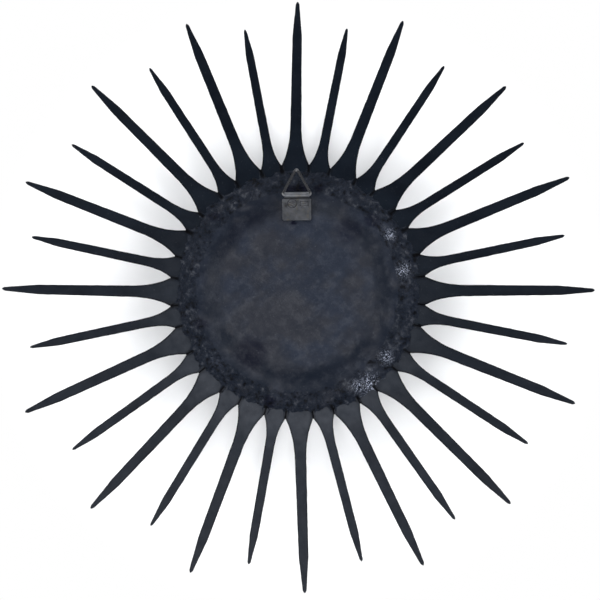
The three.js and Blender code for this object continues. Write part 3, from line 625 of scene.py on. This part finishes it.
def add_blade(name):
    """A cut blade: softened edges painted dark as painted shade, a slightly uneven face and a hand-ground,
    faintly cupped flare.
    """
    turn = blade_turn(name)
    lower, upper = blade_edges(name, turn)
    front, back = place(name)[0].y, place(name)[1].y
    end = lower[0][-1]
    stations = blade_stations(min(lower[0][0], upper[0][0]), end)
    lows, highs = smoothed(stations, lower, end), smoothed(stations, upper, end)
    seed = Vector((0, 0, 3.7 * BLADES.index(name)))
    vertices, dark, film = [], [], []
    downward = (turn @ Vector((1, 0, 0))).angle(DUSTY_SIDE)
    dusty = math.cos(downward / 2) ** 4
    for x, low, high in zip(stations, lows, highs):
        free = min(1.0, max(0.0, (x - NOTCH) / (6 * MM))) * EDGE_WAVER
        low -= free * noise.fractal(Vector((x / (5 * MM), 0, 0)) + seed, 0.8, 2.1, 4)
        high += free * noise.fractal(Vector((x / (5 * MM), 9, 0)) + seed, 0.8, 2.1, 4)
        if high - low < THINNEST:
            middle = (low + high) / 2
            low, high = middle - THINNEST / 2, middle + THINNEST / 2
        corner = min(EDGE_ROUND, 0.45 * (high - low))
        cup = CUP * bell(x - NOTCH - CUP_AT, CUP_REACH)
        ring = []
        for side in (1, -1):
            for step in range(BLADE_ACROSS):
                share = step / (BLADE_ACROSS - 1)
                share = share if side == 1 else 1 - share
                across = low + corner + (high - low - 2 * corner) * share
                swell = FACE_SWELL * noise.fractal(Vector((x, 0, across)) / (8 * MM) + seed, 0.9, 2.2, 4)
                swell -= cup * math.sin(math.pi * share) ** 2
                face = back if side == 1 else front
                ring.append((x, face + side * swell, across))
                # Painted shade on the edge and, partly, on the face's outermost points.
                dark.append(BESIDE_EDGE if step in (0, BLADE_ACROSS - 1) else 0.0)
            edge = high if side == 1 else low
            for degrees in EDGE_STEPS:
                angle = math.radians(degrees)
                depth = (front + back) / 2 + side * (back - front) / 2 * math.cos(angle)
                ring.append((x, depth, edge - side * corner * (1 - math.sin(angle) ** 0.7)))
                dark.append(1.0)
        vertices += [turn @ Vector(spot) for spot in ring]
        # Painted sheen: lighter on the blades that point down and towards each root.
        film += [dusty * (BLADE_DUST + ROOT_DUST * bell(x - NOTCH, 15 * MM))] * len(ring)
    loop = 2 * (BLADE_ACROSS + len(EDGE_STEPS))
    faces = grid_faces(len(stations), loop, wrap_columns=True)
    faces.append(tuple(range(loop)))
    faces.append(tuple(range((len(stations) - 1) * loop, len(stations) * loop)))
    piece_name = name.replace("ray", "blade")
    new_piece(piece_name, vertices, faces, "blade", "frame", "black_paint", [name], edge=dark, film=film)


def notch_angle(name):
    """The angle round the hub of the saw cut on a blade's upper side."""
    along, across = blade_edges(name, blade_turn(name))[1]
    spot = blade_turn(name) @ Vector((along[1], 0, across[1]))
    return math.atan2(spot.z, spot.x)


for blade_name in BLADES:
    add_blade(blade_name)

# ---- turned pieces


def refined(outline, spacing, corner=0.0):
    """Rounds an outline's corners, then cuts its long spans so that no step is over spacing."""
    points = rounded_outline(outline, corner) if corner else [Vector(p) for p in outline]
    result = []
    for here, there in zip(points, points[1:] + points[:1]):
        on_axis = here.x < HAIR and there.x < HAIR
        steps = 1 if on_axis else max(1, math.ceil((there - here).length / spacing))
        result += [here.lerp(there, step / steps) for step in range(steps)]
    return [tuple(p) for p in result]


def from_axis(outline):
    """Starts an outline that reaches the axis at its first axis point, so that it ends on the other."""
    for i in range(len(outline)):
        if outline[i][0] < HAIR and outline[i - 1][0] < HAIR:
            return outline[i:] + outline[:i]
    return outline


# ---- pan

# Each pimple is (x, z, size), each of the stains and painted shadows (x, z, radius, strength), in
# millimetres.
PIMPLES = [
    (-12.4, 19.4, 0.9), (-15.6, 17.6, 0.7), (-18.9, 16.3, 0.8), (10.6, -22.0, 0.9), (-3, -8, 0.6),
    (24, 11, 0.6),
]
# The two at height 69.5 under the ring's bar and the one at (-15, 71) beside its leg are painted shadow.
STAINS = [
    (32, -43, 12, 0.75), (-35.6, 40.6, 10, 0.6), (1.2, 45, 1.3, 1.0), (-3, 69.5, 5, 1.0), (4, 69.5, 5, 1.0),
    (-15, 71, 4, 0.9), (58, 52, 5, 0.7), (-52, 48, 6, 0.6), (66, -22, 5, 0.6), (20, -76, 5, 0.8),
]
STAIN_WANDER = 2.5 * MM
# The crescent is painted shade on the upper part of the pan's slope, towards +X.
CRESCENT_TURN = math.radians(51)
CRESCENT_RADIUS = 58 * MM
CRESCENT_HALF = 6 * MM
CRESCENT_REACH = 0.55  # radians to each side
# Where the painted sheen of the pan's flat middle gives way to patches.
FILM_IN = 47 * MM
FILM_OUT = 60 * MM
FILM_WANDER = 5 * MM


def stain_at(x, z):
    """How dark the paint is at a place: run-out stains, painted shadow by the ring and a crescent of painted
    shade on the pan's slope.
    """
    x += STAIN_WANDER * ripple((x, 1, z), 7 * MM, 4)
    z += STAIN_WANDER * ripple((x, 7, z), 7 * MM, 4)
    turn = (math.atan2(z, x) - CRESCENT_TURN + math.pi) % (2 * math.pi) - math.pi
    dark = 0.55 * bell(math.hypot(x, z) - CRESCENT_RADIUS, CRESCENT_HALF) * bell(turn, CRESCENT_REACH)
    for sx, sz, size, strength in STAINS:
        away = math.hypot(x - sx * MM, z - sz * MM) / (size * MM)
        dark = max(dark, strength * (1 - soft_step(away, 0.5, 1.2)))
    return min(1.0, dark)


def film_at(x, z):
    """How pale the paint is: the pan's flat middle is pale all over as a painted sheen, its slope and the
    filler only in patches.
    """
    radius = math.hypot(x, z) + FILM_WANDER * ripple((x, 2, z), 18 * MM, 4)
    clear = soft_step(radius, FILM_IN, FILM_OUT)
    patch = 0.5 + 0.5 * ripple((x, 6, z), 9 * MM, 5)
    return (1 - clear) * (0.80 + 0.25 * patch) + clear * max(0.0, 1.25 * patch * patch - 0.1)


def pan_profile():
    """Depth of the pan's back over radius, smooth through the CAD pan's own points."""
    outline = lathe_profile("back_pan")
    depth_at = {}
    for radius, depth in outline:
        key = round(radius, 5)
        depth_at[key] = max(depth, depth_at.get(key, -1))
    radii = np.array(sorted(depth_at))
    depths = np.array([depth_at[key] for key in radii])
    return radii, depths


PAN_AROUND = 420
PAN_FLAT = 46 * MM
PAN_EASE = 2.2 * MM  # reach of the easing of the pressed bends
DENT = 0.16 * MM
SMEAR = 0.05 * MM
PIMPLE_RISE = 0.28
PIMPLE_SPREAD = 0.55


def pimples_at(x, z):
    """Height of the paint's pimples at a place."""
    return sum(
        size * PIMPLE_RISE * MM * bell(math.hypot(x - px * MM, z - pz * MM), PIMPLE_SPREAD * size * MM)
        for px, pz, size in PIMPLES
    )


def add_pan():
    """The pressed dish: eased bends, shallow dents, smears and pimples of paint, both faces and the rim."""
    radii, depths = pan_profile()
    rim = radii[-1]
    sheet = place("back_pan")[1].y - lathe_sheet_front()
    steps = np.concatenate([np.linspace(0, PAN_FLAT, 75, endpoint=False), np.linspace(PAN_FLAT, rim, 45)])
    reach = np.linspace(-PAN_EASE, PAN_EASE, 7)
    eased = [float(np.mean(np.interp(np.clip(radius + reach, 0, rim), radii, depths))) for radius in steps]
    vertices, film, stain = [], [], []
    for layer in (0, 1):
        for radius, depth in zip(steps[1:], eased[1:]):
            calm = 1 - soft_step(radius, 66 * MM, 70 * MM)
            for angle in turns(PAN_AROUND):
                x, z = radius * math.cos(angle), radius * math.sin(angle)
                rise = DENT * ripple((x, 0, z), 24 * MM, 3) + SMEAR * ripple((x, 5, z), 5 * MM, 5)
                rise += pimples_at(x, z) if layer == 0 else 0
                vertices.append((x, depth + rise * calm - layer * sheet, z))
                film.append(film_at(x, z))
                stain.append(stain_at(x, z))
    rows = len(steps) - 1
    shift = rows * PAN_AROUND
    faces = two_layers(grid_faces(rows, PAN_AROUND, wrap_columns=True), shift)
    rim_row = (rows - 1) * PAN_AROUND
    onward = [(step + 1) % PAN_AROUND for step in range(PAN_AROUND)]
    for step, following in enumerate(onward):
        a, b = rim_row + step, rim_row + following
        faces.append((a, b, b + shift, a + shift))
    for layer in (0, 1):
        pole = len(vertices)
        vertices.append((0, eased[0] - layer * sheet, 0))
        film.append(film_at(0, 0))
        stain.append(0.0)
        first = layer * shift
        faces += [(pole, first + step, first + following) for step, following in enumerate(onward)]
    new_piece("pan_dish", vertices, faces, "pan", "frame", "pan_paint", ["back_pan"], film=film, stain=stain)


def lathe_sheet_front():
    """Depth of the front of the pan's sheet on the axis."""
    on_axis = [depth for radius, depth in lathe_profile("back_pan") if radius < HAIR]
    return min(on_axis)


add_pan()

# ---- filler

NOTCH_ANGLES = np.array(sorted(notch_angle(name) % (2 * math.pi) for name in BLADES))
# Each glossy patch is (x, z, size) in millimetres; on the filler it also carries painted glints.
GLOSSY = [(-64, 38, 7), (-73, 13, 9), (-60, -46, 8), (-48, -65, 13), (-40, -66, 8), (70, 52, 5)]
GLOSS_SPREAD = 0.48
FILLER_AROUND = 1400
FILLER_ACROSS = 56
FILLER_IN = 68.4 * MM
FILLER_OUT = 83.4 * MM
FILLER_SUNK = 0.9 * MM  # how far the skin's hidden underside lies inside the blades
EDGE_WANDER = 3.0 * MM
EDGE_RAGGED = 1.1 * MM
LUMP = 0.50 * MM
PATCH = 0.36 * MM
STROKE = 0.30 * MM
PIT_IN = 83.0 * MM
PIT_OUT = 88.4 * MM
PIT_HALF = 1.35 * MM
PIT_DENT = 0.1 * MM
TONGUE_HALF = 1.9 * MM


def notch_gap(angle):
    """The turn from an angle to its nearest saw cut, and the number of that cut."""
    gaps = np.abs((NOTCH_ANGLES - angle + math.pi) % (2 * math.pi) - math.pi)
    nearest = int(np.argmin(gaps))
    return gaps[nearest], nearest


def filler_edge(angle, off_notch, pit_size):
    """Radius of the ragged outer edge at an angle. A tongue of paint runs into each saw cut."""
    x, z = math.cos(angle), math.sin(angle)
    free = FILLER_OUT + EDGE_WANDER * ripple((x, 0, z), 0.16, 3) + EDGE_RAGGED * ripple((x, 4, z), 0.04, 4)
    tongue = bell(off_notch * PIT_OUT, TONGUE_HALF * pit_size, 4)
    return free + (PIT_OUT - free) * tongue


def filler_relief(x, z, radius, angle, level):
    """Lumps, rough patches and brush strokes, calmer towards both edges of the skin."""
    relief = LUMP * ripple((x, 0, z), 11 * MM, 3)
    relief += PATCH * ripple((x, 3, z), 4.2 * MM, 5)
    strokes = ripple((radius / (1.1 * MM), 9 * angle, 0), 1.0, 3)
    brushed = max(0.0, ripple((math.cos(angle), 5, math.sin(angle)), 0.35, 2))
    relief += STROKE * strokes * brushed
    return relief * math.sin(math.pi * min(1.0, max(0.0, 0.04 + 0.94 * level))) ** 0.6


def pit_at(radius, off_notch, pit_size):
    """How far into the dent at the inner end of a saw cut a place lies; it is painted black as painted shade.
    """
    beside = bell(radius * off_notch, PIT_HALF * pit_size, 4)
    return beside * soft_step(radius, PIT_IN - 1.6 * MM * pit_size, PIT_IN + 0.6 * MM)


def gloss_at(x, z):
    """How far the paint has run thick and glossy at a place; on the filler, painted glints lie there too."""
    return max(
        bell(math.hypot(x - gx * MM, z - gz * MM), size * GLOSS_SPREAD * MM)
        for gx, gz, size in GLOSSY
    )


def add_filler():
    """A skin of body filler from the pan's rim over the blade roots, brushed on and never level."""
    blade_back = place("ray_01")[1].y
    start = pan_profile()[1][-1] + 0.02 * MM
    crown = place("filler_bead")[1].y - 0.35 * MM
    end = blade_back + 0.05 * MM
    vertices, gloss, pit, film, stain = [], [], [], [], []
    for angle in turns(FILLER_AROUND):
        c, s = math.cos(angle), math.sin(angle)
        off_notch, notch = notch_gap(angle)
        pit_size = 0.95 + 0.75 * ripple((7.3 * notch, 1, 0), 1.0, 2)
        edge = filler_edge(angle, off_notch, pit_size)
        lean = 0.12 * ripple((c, 8, s), 0.3, 2)
        for column in range(FILLER_ACROSS):
            t = column / (FILLER_ACROSS - 1)
            radius = FILLER_IN + (edge - FILLER_IN) * t
            x, z = radius * c, radius * s
            level = min(1.0, (radius - FILLER_IN) / (FILLER_OUT - FILLER_IN))
            rise = soft_step(level, 0.0, 0.42 + lean)
            fall = soft_step(level, 0.45 + lean, 1.0)
            body = start + (crown - start) * rise + (end - crown) * fall
            depth = max(body + filler_relief(x, z, radius, angle, level), blade_back + 0.02 * MM)
            hole = pit_at(radius, off_notch, pit_size)
            vertices.append((x, depth - PIT_DENT * hole * t, z))
            pit.append(hole)
            film.append(film_at(x, z) * (1 - soft_step(level, 0.55, 1.0)))
            stain.append(stain_at(x, z))
            gloss.append(gloss_at(x, z))
    faces = grid_faces(FILLER_AROUND, FILLER_ACROSS, wrap_rows=True)
    under = len(vertices)
    for step in range(FILLER_AROUND):
        for column in (0, FILLER_ACROSS - 1):
            x, _, z = vertices[step * FILLER_ACROSS + column]
            vertices.append((x, blade_back - FILLER_SUNK, z))
            # The wall under the skin's outer edge is painted black as painted shade.
            pit.append(1.0 if column else 0.0)
            for field in (gloss, film, stain):
                field.append(0.0)
    for step in range(FILLER_AROUND):
        onward = (step + 1) % FILLER_AROUND
        inner, inner_next = step * FILLER_ACROSS, onward * FILLER_ACROSS
        outer, outer_next = inner + FILLER_ACROSS - 1, inner_next + FILLER_ACROSS - 1
        a, b = under + 2 * step, under + 2 * step + 1
        a_next, b_next = under + 2 * onward, under + 2 * onward + 1
        faces.append((inner, inner_next, a_next, a))
        faces.append((outer, outer_next, b_next, b))
        faces.append((a, a_next, b_next, b))
    values = {"gloss": gloss, "pit": pit, "film": film, "stain": stain}
    new_piece("filler_skin", vertices, faces, "filler", "frame", "filler", ["filler_bead"], **values)


add_filler()

# ---- hub, bezel, lens, dial

spin("hub_flange", refined(lathe_profile("hub_ring"), 3 * MM, 0.5 * MM),
     "rim", "frame", "black_paint", ["hub_ring"])
spin("bezel_rim", refined(lathe_profile("bezel"), 2 * MM, 0.9 * MM),
     "rim", "clock_insert", "black_paint", ["bezel"])
spin("dial_plate", refined(lathe_profile("dial"), 8 * MM, 0.15 * MM),
     "dial_paper", "clock_insert", "dial_white", ["dial"])
spin("lens_dome", from_axis(refined(from_axis(lathe_profile("lens")), 2 * MM, 0.4 * MM)),
     "lens", "clock_insert", "clear_lens", ["lens"])

DIAL_FRONT = place("dial")[0].y
INK = 0.04 * MM
NUMERAL_RADIUS = 55 * MM
NUMERAL_SIZE = 12.5 * MM
TRACK_RADIUS = 67.5 * MM


def add_numeral(hour):
    """A printed hour numeral, upright on the dial, from the built-in typeface."""
    curve = bpy.data.curves.new("numeral_outline", "FONT")
    curve.body = str(hour)
    curve.size = NUMERAL_SIZE
    curve.extrude = INK / 2
    curve.align_x = "CENTER"
    curve.align_y = "CENTER"
    source = bpy.data.objects.new("numeral_outline", curve)
    scene.collection.objects.link(source)
    bpy.context.view_layer.update()
    mesh = bpy.data.meshes.new_from_object(source.evaluated_get(bpy.context.evaluated_depsgraph_get()))
    bpy.data.objects.remove(source)
    bpy.data.curves.remove(curve)
    angle = math.radians(90 - 30 * hour)
    low = np.min([v.co[:] for v in mesh.vertices], axis=0)
    high = np.max([v.co[:] for v in mesh.vertices], axis=0)
    centre = (low + high) / 2
    spot = Vector((NUMERAL_RADIUS * math.cos(angle), DIAL_FRONT - INK / 2, NUMERAL_RADIUS * math.sin(angle)))
    for vertex in mesh.vertices:
        flat = vertex.co - Vector(centre)
        vertex.co = spot + Vector((flat.x, -flat.z, flat.y))
    mesh.materials.clear()
    mesh.materials.append(MATERIALS["dial_print"])
    piece = bpy.data.objects.new(f"numeral_{hour:02d}", mesh)
    scene.collection.objects.link(piece)
    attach(piece, "clock_insert")


def add_track():
    """Sixty minute marks, every fifth one longer and thicker."""
    vertices, faces = [], []
    for minute in range(60):
        hour_mark = minute % 5 == 0
        half = (0.55 if hour_mark else 0.2) * MM
        inner = TRACK_RADIUS - (4.2 if hour_mark else 2.4) * MM
        angle = 2 * math.pi * minute / 60
        out = Vector((math.cos(angle), 0, math.sin(angle)))
        side = Vector((-math.sin(angle), 0, math.cos(angle)))
        base = len(vertices)
        for depth in (DIAL_FRONT, DIAL_FRONT - INK):
            for radius, sign in ((inner, -1), (TRACK_RADIUS, -1), (TRACK_RADIUS, 1), (inner, 1)):
                vertices.append(out * radius + side * sign * half + Vector((0, depth, 0)))
        faces += [tuple(base + i for i in face) for face in (
            (0, 1, 2, 3), (7, 6, 5, 4), (0, 4, 5, 1), (1, 5, 6, 2), (2, 6, 7, 3), (3, 7, 4, 0))]
    new_piece("minute_track", vertices, faces, "dial_print", "clock_insert", "dial_white", smooth=False)


for hour in range(1, 13):
    add_numeral(hour)
add_track()

# ---- hanger

RING_LOW, RING_HIGH = place("hanger_ring")
WIRE = (RING_HIGH.y - RING_LOW.y) / 2
BAR = Vector((0, (RING_HIGH.y + RING_LOW.y) / 2, RING_LOW.z + WIRE))


RING_BEND = 2.6 * MM
JOINT_HALF = 0.15 * MM


def ring_path():
    """Centre line of the triangular ring, from one side of its butt joint round to the other."""
    half = RING_HIGH.x - WIRE + 0.35 * MM
    top = RING_HIGH.z - WIRE + 0.75 * MM
    right, apex, left = Vector((half, 0, BAR.z)), Vector((0, 0, top)), Vector((-half, 0, BAR.z))
    path = [Vector((JOINT_HALF, 0, BAR.z))]
    for before, corner, after in ((left, right, apex), (right, apex, left), (apex, left, right)):
        start = corner + (before - corner).normalized() * RING_BEND
        end = corner + (after - corner).normalized() * RING_BEND
        previous = path[-1]
        path += [previous.lerp(start, step / 12) for step in range(1, 12)]
        path += curved(start, corner, end, 10)
    last = Vector((-JOINT_HALF, 0, BAR.z))
    previous = path[-1]
    path += [previous.lerp(last, step / 12) for step in range(1, 13)]
    return path


def add_ring():
    """The bent wire, painted darker along its legs and brighter on the bar and at the top, as painted shade
    and highlight.
    """
    path = ring_path()
    sides = 24
    normal = Vector((0, 1, 0))
    vertices, dull = [], []
    for i, spot in enumerate(path):
        ahead = (path[min(i + 1, len(path) - 1)] - path[max(i - 1, 0)]).normalized()
        # Painted shade along the legs; the bar and the top stay bright as a painted highlight.
        legs = soft_step(spot.z, BAR.z + 0.5 * MM, BAR.z + 2.5 * MM)
        legs *= 1 - 0.7 * soft_step(spot.z, RING_HIGH.z - 2.6 * MM, RING_HIGH.z - 1.2 * MM)
        across = ahead.cross(normal)
        for side, angle in enumerate(turns(sides)):
            wear = 1 + 0.02 * ripple((spot.x, side, spot.z), 1.5 * MM, 3)
            offset = (normal * math.cos(angle) + across * math.sin(angle)) * WIRE * wear
            vertices.append(spot + offset + Vector((0, BAR.y, 0)))
            dull.append(legs)
    faces = grid_faces(len(path), sides, wrap_columns=True)
    faces.append(tuple(range(sides)))
    faces.append(tuple(range(len(vertices) - sides, len(vertices))))
    new_piece("wire_ring", vertices, faces, "ring", "hanging_ring", "nickel", ["hanger_ring"], dull=dull)


add_ring()

STRAP_LENGTH = 18 * MM
STRAP_HALF = 9.8 * MM
EYE_HALF = 8.5 * MM
EYE_INNER = WIRE + 0.3 * MM
SHEET = 0.72 * MM
STRAP_TILT = math.asin((1.05 * MM - BAR.y) / STRAP_LENGTH)
PUNCH_SPOT = (3.2 * MM, -6.2 * MM)
PUNCH_RADIUS = 3.1 * MM
STAMP_SPOT = (-5.0 * MM, -6.4 * MM)
STAMP_HALF = (2.7 * MM, 1.6 * MM)
GROOVE = 0.38 * MM
MARK_DEPTH = 0.26 * MM
STRAP_WARP = 0.05 * MM
STRAP_ROLL = 0.10 * MM  # how far the sheared edges are rolled over
EYE_END = 2.4 * MM  # how far below the bar the strip's two layers meet
STRAP_ACROSS = 81


def strap_centre_line():
    """(depth, height) along the folded strip's middle: up its front, round the bar, down its back."""
    radius = EYE_INNER + SHEET / 2
    offset = SHEET / 2 + 0.02 * MM
    leave = math.asin(offset / radius)
    straight = STRAP_LENGTH - radius * math.cos(leave)
    front = [(-offset, -STRAP_LENGTH + t * straight) for t in np.linspace(0, 1, 70)]
    arc = []
    for t in np.linspace(0, 1, 30)[1:-1]:
        angle = -math.pi / 2 - leave - t * (2 * math.pi - 2 * leave)
        arc.append((radius * math.cos(angle), radius * math.sin(angle)))
    back = [(offset, height) for _, height in reversed(front)]
    return front + arc + back


def punch_marks(x, height):
    """Depth of the two punched marks: a round one split by a slanting lip, and a small oblong one."""
    dx, dz = x - PUNCH_SPOT[0], height - PUNCH_SPOT[1]
    around = math.hypot(dx, dz)
    marks = bell(around - PUNCH_RADIUS, GROOVE)
    if around < PUNCH_RADIUS:
        slant = 0.45 * dx - 0.9 * dz
        marks = max(marks, bell(slant, 0.45 * MM), 0.8 * bell(slant - 1.6 * MM, GROOVE))
    dx, dz = x - STAMP_SPOT[0], height - STAMP_SPOT[1]
    outside = max(abs(dx) - STAMP_HALF[0], abs(dz) - STAMP_HALF[1])
    marks = max(marks, bell(outside, GROOVE))
    if outside < 0:
        marks = max(marks, 0.8 * bell(dz + 0.2 * dx, GROOVE))
    return marks


def soil_at(x, height, marks, back_layer):
    """Darker in the marks and in patches on the upper half; painted shade in the fold under the eye and, more
    lightly, over the whole flat.
    """
    down = -height
    handled = 0.5 + 0.5 * ripple((x, 9, height), 3.5 * MM, 4)
    handled *= 0.75 * (1 - soft_step(down, 8 * MM, 11 * MM)) * soft_step(down, 2.2 * MM, 3 * MM)
    # Painted shade in the fold under the eye.
    crease = bell(down - 2.45 * MM, 0.62 * MM, 4) if back_layer else 0.0
    # Painted shade over the flat, which leaves the eye brighter as a painted highlight.
    flat = soft_step(down, 2.8 * MM, 3.6 * MM)
    return min(1.0, max(0.95 * marks, handled, crease, 0.32 * flat))


def place_on_strap(x, depth, height):
    """From the strap's own axes, about the bar, to the row frame."""
    turned = Matrix.Rotation(STRAP_TILT, 3, "X") @ Vector((x, depth, height))
    return turned + BAR


def add_strap():
    """The strip folded round the ring's bar, narrower at the eye, with two punched marks on its back."""
    line = strap_centre_line()
    vertices, soil = [], []
    for layer in (1, -1):
        for i, (depth, height) in enumerate(line):
            before, after = line[max(i - 1, 0)], line[min(i + 1, len(line) - 1)]
            ahead = Vector((after[0] - before[0], after[1] - before[1])).normalized()
            normal = Vector((-ahead.y, ahead.x))
            half = EYE_HALF + (STRAP_HALF - EYE_HALF) * soft_step(-height, EYE_END, EYE_END + MM)
            lower = soft_step(-height, STRAP_LENGTH - 1.0 * MM, STRAP_LENGTH)
            half -= 0.7 * MM * lower * lower
            back_layer = i > len(line) / 2
            for column in range(STRAP_ACROSS):
                x = half * (2 * column / (STRAP_ACROSS - 1) - 1)
                marks = punch_marks(x, height) if back_layer and -height > EYE_END else 0.0
                lift = STRAP_WARP * ripple((x, 0, height), 5 * MM, 3) - MARK_DEPTH * marks
                roll = STRAP_ROLL * max(0.0, (abs(x) / half - 0.975) / 0.025) ** 2
                spot = Vector((depth, height)) + normal * (layer * (SHEET / 2 - roll))
                vertices.append(place_on_strap(x, spot.x + lift, spot.y))
                soil.append(soil_at(x, height, marks, back_layer))
    rows = len(line)
    shift = rows * STRAP_ACROSS
    faces = two_layers(grid_faces(rows, STRAP_ACROSS), shift)
    ends = [(row * STRAP_ACROSS + column, 1) for row in (0, rows - 1) for column in range(STRAP_ACROSS - 1)]
    sides = [
        (row * STRAP_ACROSS + column, STRAP_ACROSS)
        for row in range(rows - 1) for column in (0, STRAP_ACROSS - 1)
    ]
    for a, step in ends + sides:
        faces.append((a, a + step, a + step + shift, a + shift))
    new_piece("folded_strap", vertices, faces, "strap", "frame", "gunmetal", ["hanger_strap"], soil=soil)


add_strap()

# ---- hands, movement and train on their CAD nodes

CARRIED = {
    "hour_hand": ("hand_black", 0.12),
    "minute_hand": ("hand_black", 0.12),
    "second_hand": ("hand_red", 0.08),
    "movement_case": ("black_plastic", 0.4),
    "movement_cover": ("black_plastic", 0.25),
    "mounting_nut": ("brass", 0.25),
    "setting_knob": ("black_plastic", 0.12),
    "battery": ("cell", 0.4),
    "battery_contact_positive": ("stamped_steel", 0.08),
    "battery_contact_negative": ("stamped_steel", 0.08),
    "coil_and_circuit": ("coil", 0.12),
    "stator": ("stamped_steel", 0.1),
    "rotor": ("bonded_magnet", 0.06),
    "intermediate_wheel": ("white_plastic", 0.04),
    "seconds_wheel": ("white_plastic", 0.04),
    "third_wheel": ("white_plastic", 0.04),
    "centre_wheel": ("brass", 0.04),
    "minute_arbor": ("brass", 0.04),
    "minute_wheel": ("white_plastic", 0.04),
    "hour_wheel": ("white_plastic", 0.04),
}

for node, (material, width) in CARRIED.items():
    carried = node_object(node)
    carried.data.materials.clear()
    carried.data.materials.append(MATERIALS[material])
    soften_edges(carried, width * MM)

# ---- stage


def stage_material(name, colour):
    """A matt pale surface with a barely visible unevenness."""
    look = Surface(name, Roughness=0.9, Specular_IOR_Level=0.0)
    pale = tuple(0.985 * c for c in colour)
    look.colour(look.mix(look.patches(0.4), colour, pale))
    return look


def add_plane(name, corners, faces, look):
    """Part of the stage. It lights nothing and is not seen in reflections or through the lens."""
    mesh = bpy.data.meshes.new(name)
    mesh.from_pydata(corners, [], faces)
    mesh.materials.append(look.material)
    plane = bpy.data.objects.new(name, mesh)
    plane.visible_diffuse = False
    plane.visible_glossy = False
    plane.visible_transmission = False
    scene.collection.objects.link(plane)
    return plane


FLOOR_LEVEL = -0.92
FLOOR_REACH = 3.0
FLOOR_GLOW = 0.74
FLOOR_GREY = (0.25, 0.25, 0.25)


def add_floor():
    """A pale floor well below the clock. Its glow keeps the far part pale."""
    look = stage_material("floor_pale", FLOOR_GREY)
    look.shader.inputs["Emission Color"].default_value = (1.0, 1.0, 1.0, 1.0)
    look.shader.inputs["Emission Strength"].default_value = FLOOR_GLOW
    square = ((-1, -1), (1, -1), (1, 1), (-1, 1))
    corners = [(x * FLOOR_REACH, y * FLOOR_REACH, FLOOR_LEVEL) for x, y in square]
    add_plane("floor", corners, [(0, 1, 2, 3)], look)


add_floor()

SHEET_SOLID = 0.150
SHEET_REACH = 0.225
SHEET_GAP = 1.5 * MM
SHEET_WHITE = (0.88, 0.88, 0.88)
SHEET_AROUND = 96


def add_sheet_behind():
    """A white sheet in front of the clock's face. Only its back shows, and it fades out round the clock."""
    look = stage_material("sheet_white", SHEET_WHITE)
    clear = look.node("BsdfTransparent")
    side = look.node("NewGeometry")
    choose = look.node("MixShader")
    hidden = look.math("MAXIMUM", side.outputs["Backfacing"], look.attribute("fade"))
    look.link(hidden, choose.inputs["Fac"])
    look.link(look.shader.outputs["BSDF"], choose.inputs[1])
    look.link(clear.outputs["BSDF"], choose.inputs[2])
    look.link(choose.outputs["Shader"], look.tree.nodes["Material Output"].inputs["Surface"])
    depth = cad_low[1] - SHEET_GAP
    radii = np.concatenate([[MM], np.linspace(SHEET_SOLID, SHEET_REACH, 12)])
    angles = turns(SHEET_AROUND)
    corners = [(r * math.cos(angle), depth, r * math.sin(angle)) for r in radii for angle in angles]
    faces = grid_faces(len(radii), SHEET_AROUND, wrap_columns=True)
    sheet = add_plane("white_sheet", corners, faces, look)
    paint_values(sheet, fade=[soft_step(math.hypot(x, z), SHEET_SOLID, SHEET_REACH) for x, _, z in corners])
    sheet.visible_shadow = False


add_sheet_behind()


LIGHT_COLOUR = (0.97, 0.98, 1.0)


def add_light(name, spot, size, power, gloss=True, diffuse=True):
    """A soft square light aimed at the clock's middle, for its matt light, its reflections or both."""
    data = bpy.data.lights.new(name, "AREA")
    data.shape = "SQUARE"
    data.size = size
    data.energy = power
    data.color = LIGHT_COLOUR
    light = bpy.data.objects.new(name, data)
    light.location = spot
    light.rotation_euler = (-Vector(spot)).to_track_quat("-Z", "Y").to_euler()
    light.visible_glossy = gloss
    light.visible_diffuse = diffuse
    scene.collection.objects.link(light)


# The first five light the painted back, the two ridge lights only glint on its relief, the last two light
# the front.
add_light("light_low_left", (0.90, 0.78, -0.45), 0.9, 20, gloss=False)
add_light("light_low_right", (-0.85, 0.78, -0.50), 0.9, 16.2, gloss=False)
add_light("light_right", (-1.05, 0.72, 0.45), 0.9, 11.5, gloss=False)
add_light("light_top", (0.35, 0.75, 1.05), 0.9, 12.5, gloss=False)
add_light("light_overhead", (0.45, 1.35, -0.85), 0.95, 4)
add_light("light_ridges_top", (-0.25, 0.36, 1.15), 0.5, 1.3, diffuse=False)
add_light("light_ridges_left", (1.15, 0.36, 0.30), 0.5, 1.6, diffuse=False)
add_light("light_front_left", (-0.9, -1.2, 0.9), 0.9, 24)
add_light("light_front_right", (1.0, -1.1, 0.6), 0.9, 16)

WORLD_FILL = (0.9, 0.95, 1.0, 1.0)
WORLD_STRENGTH = 0.08


def add_world():
    """A dim cool fill all round, behind a ground that the camera sees as plain white."""
    world = bpy.data.worlds.new("studio")
    world.use_nodes = True
    nodes, links = world.node_tree.nodes, world.node_tree.links
    dim = nodes["Background"]
    dim.inputs["Color"].default_value = WORLD_FILL
    dim.inputs["Strength"].default_value = WORLD_STRENGTH
    bright = nodes.new("ShaderNodeBackground")
    bright.inputs["Color"].default_value = (1.0, 1.0, 1.0, 1.0)
    ray_kind = nodes.new("ShaderNodeLightPath")
    choose = nodes.new("ShaderNodeMixShader")
    links.new(ray_kind.outputs["Is Camera Ray"], choose.inputs["Fac"])
    links.new(dim.outputs["Background"], choose.inputs[1])
    links.new(bright.outputs["Background"], choose.inputs[2])
    links.new(choose.outputs["Shader"], nodes["World Output"].inputs["Surface"])
    scene.world = world


add_world()
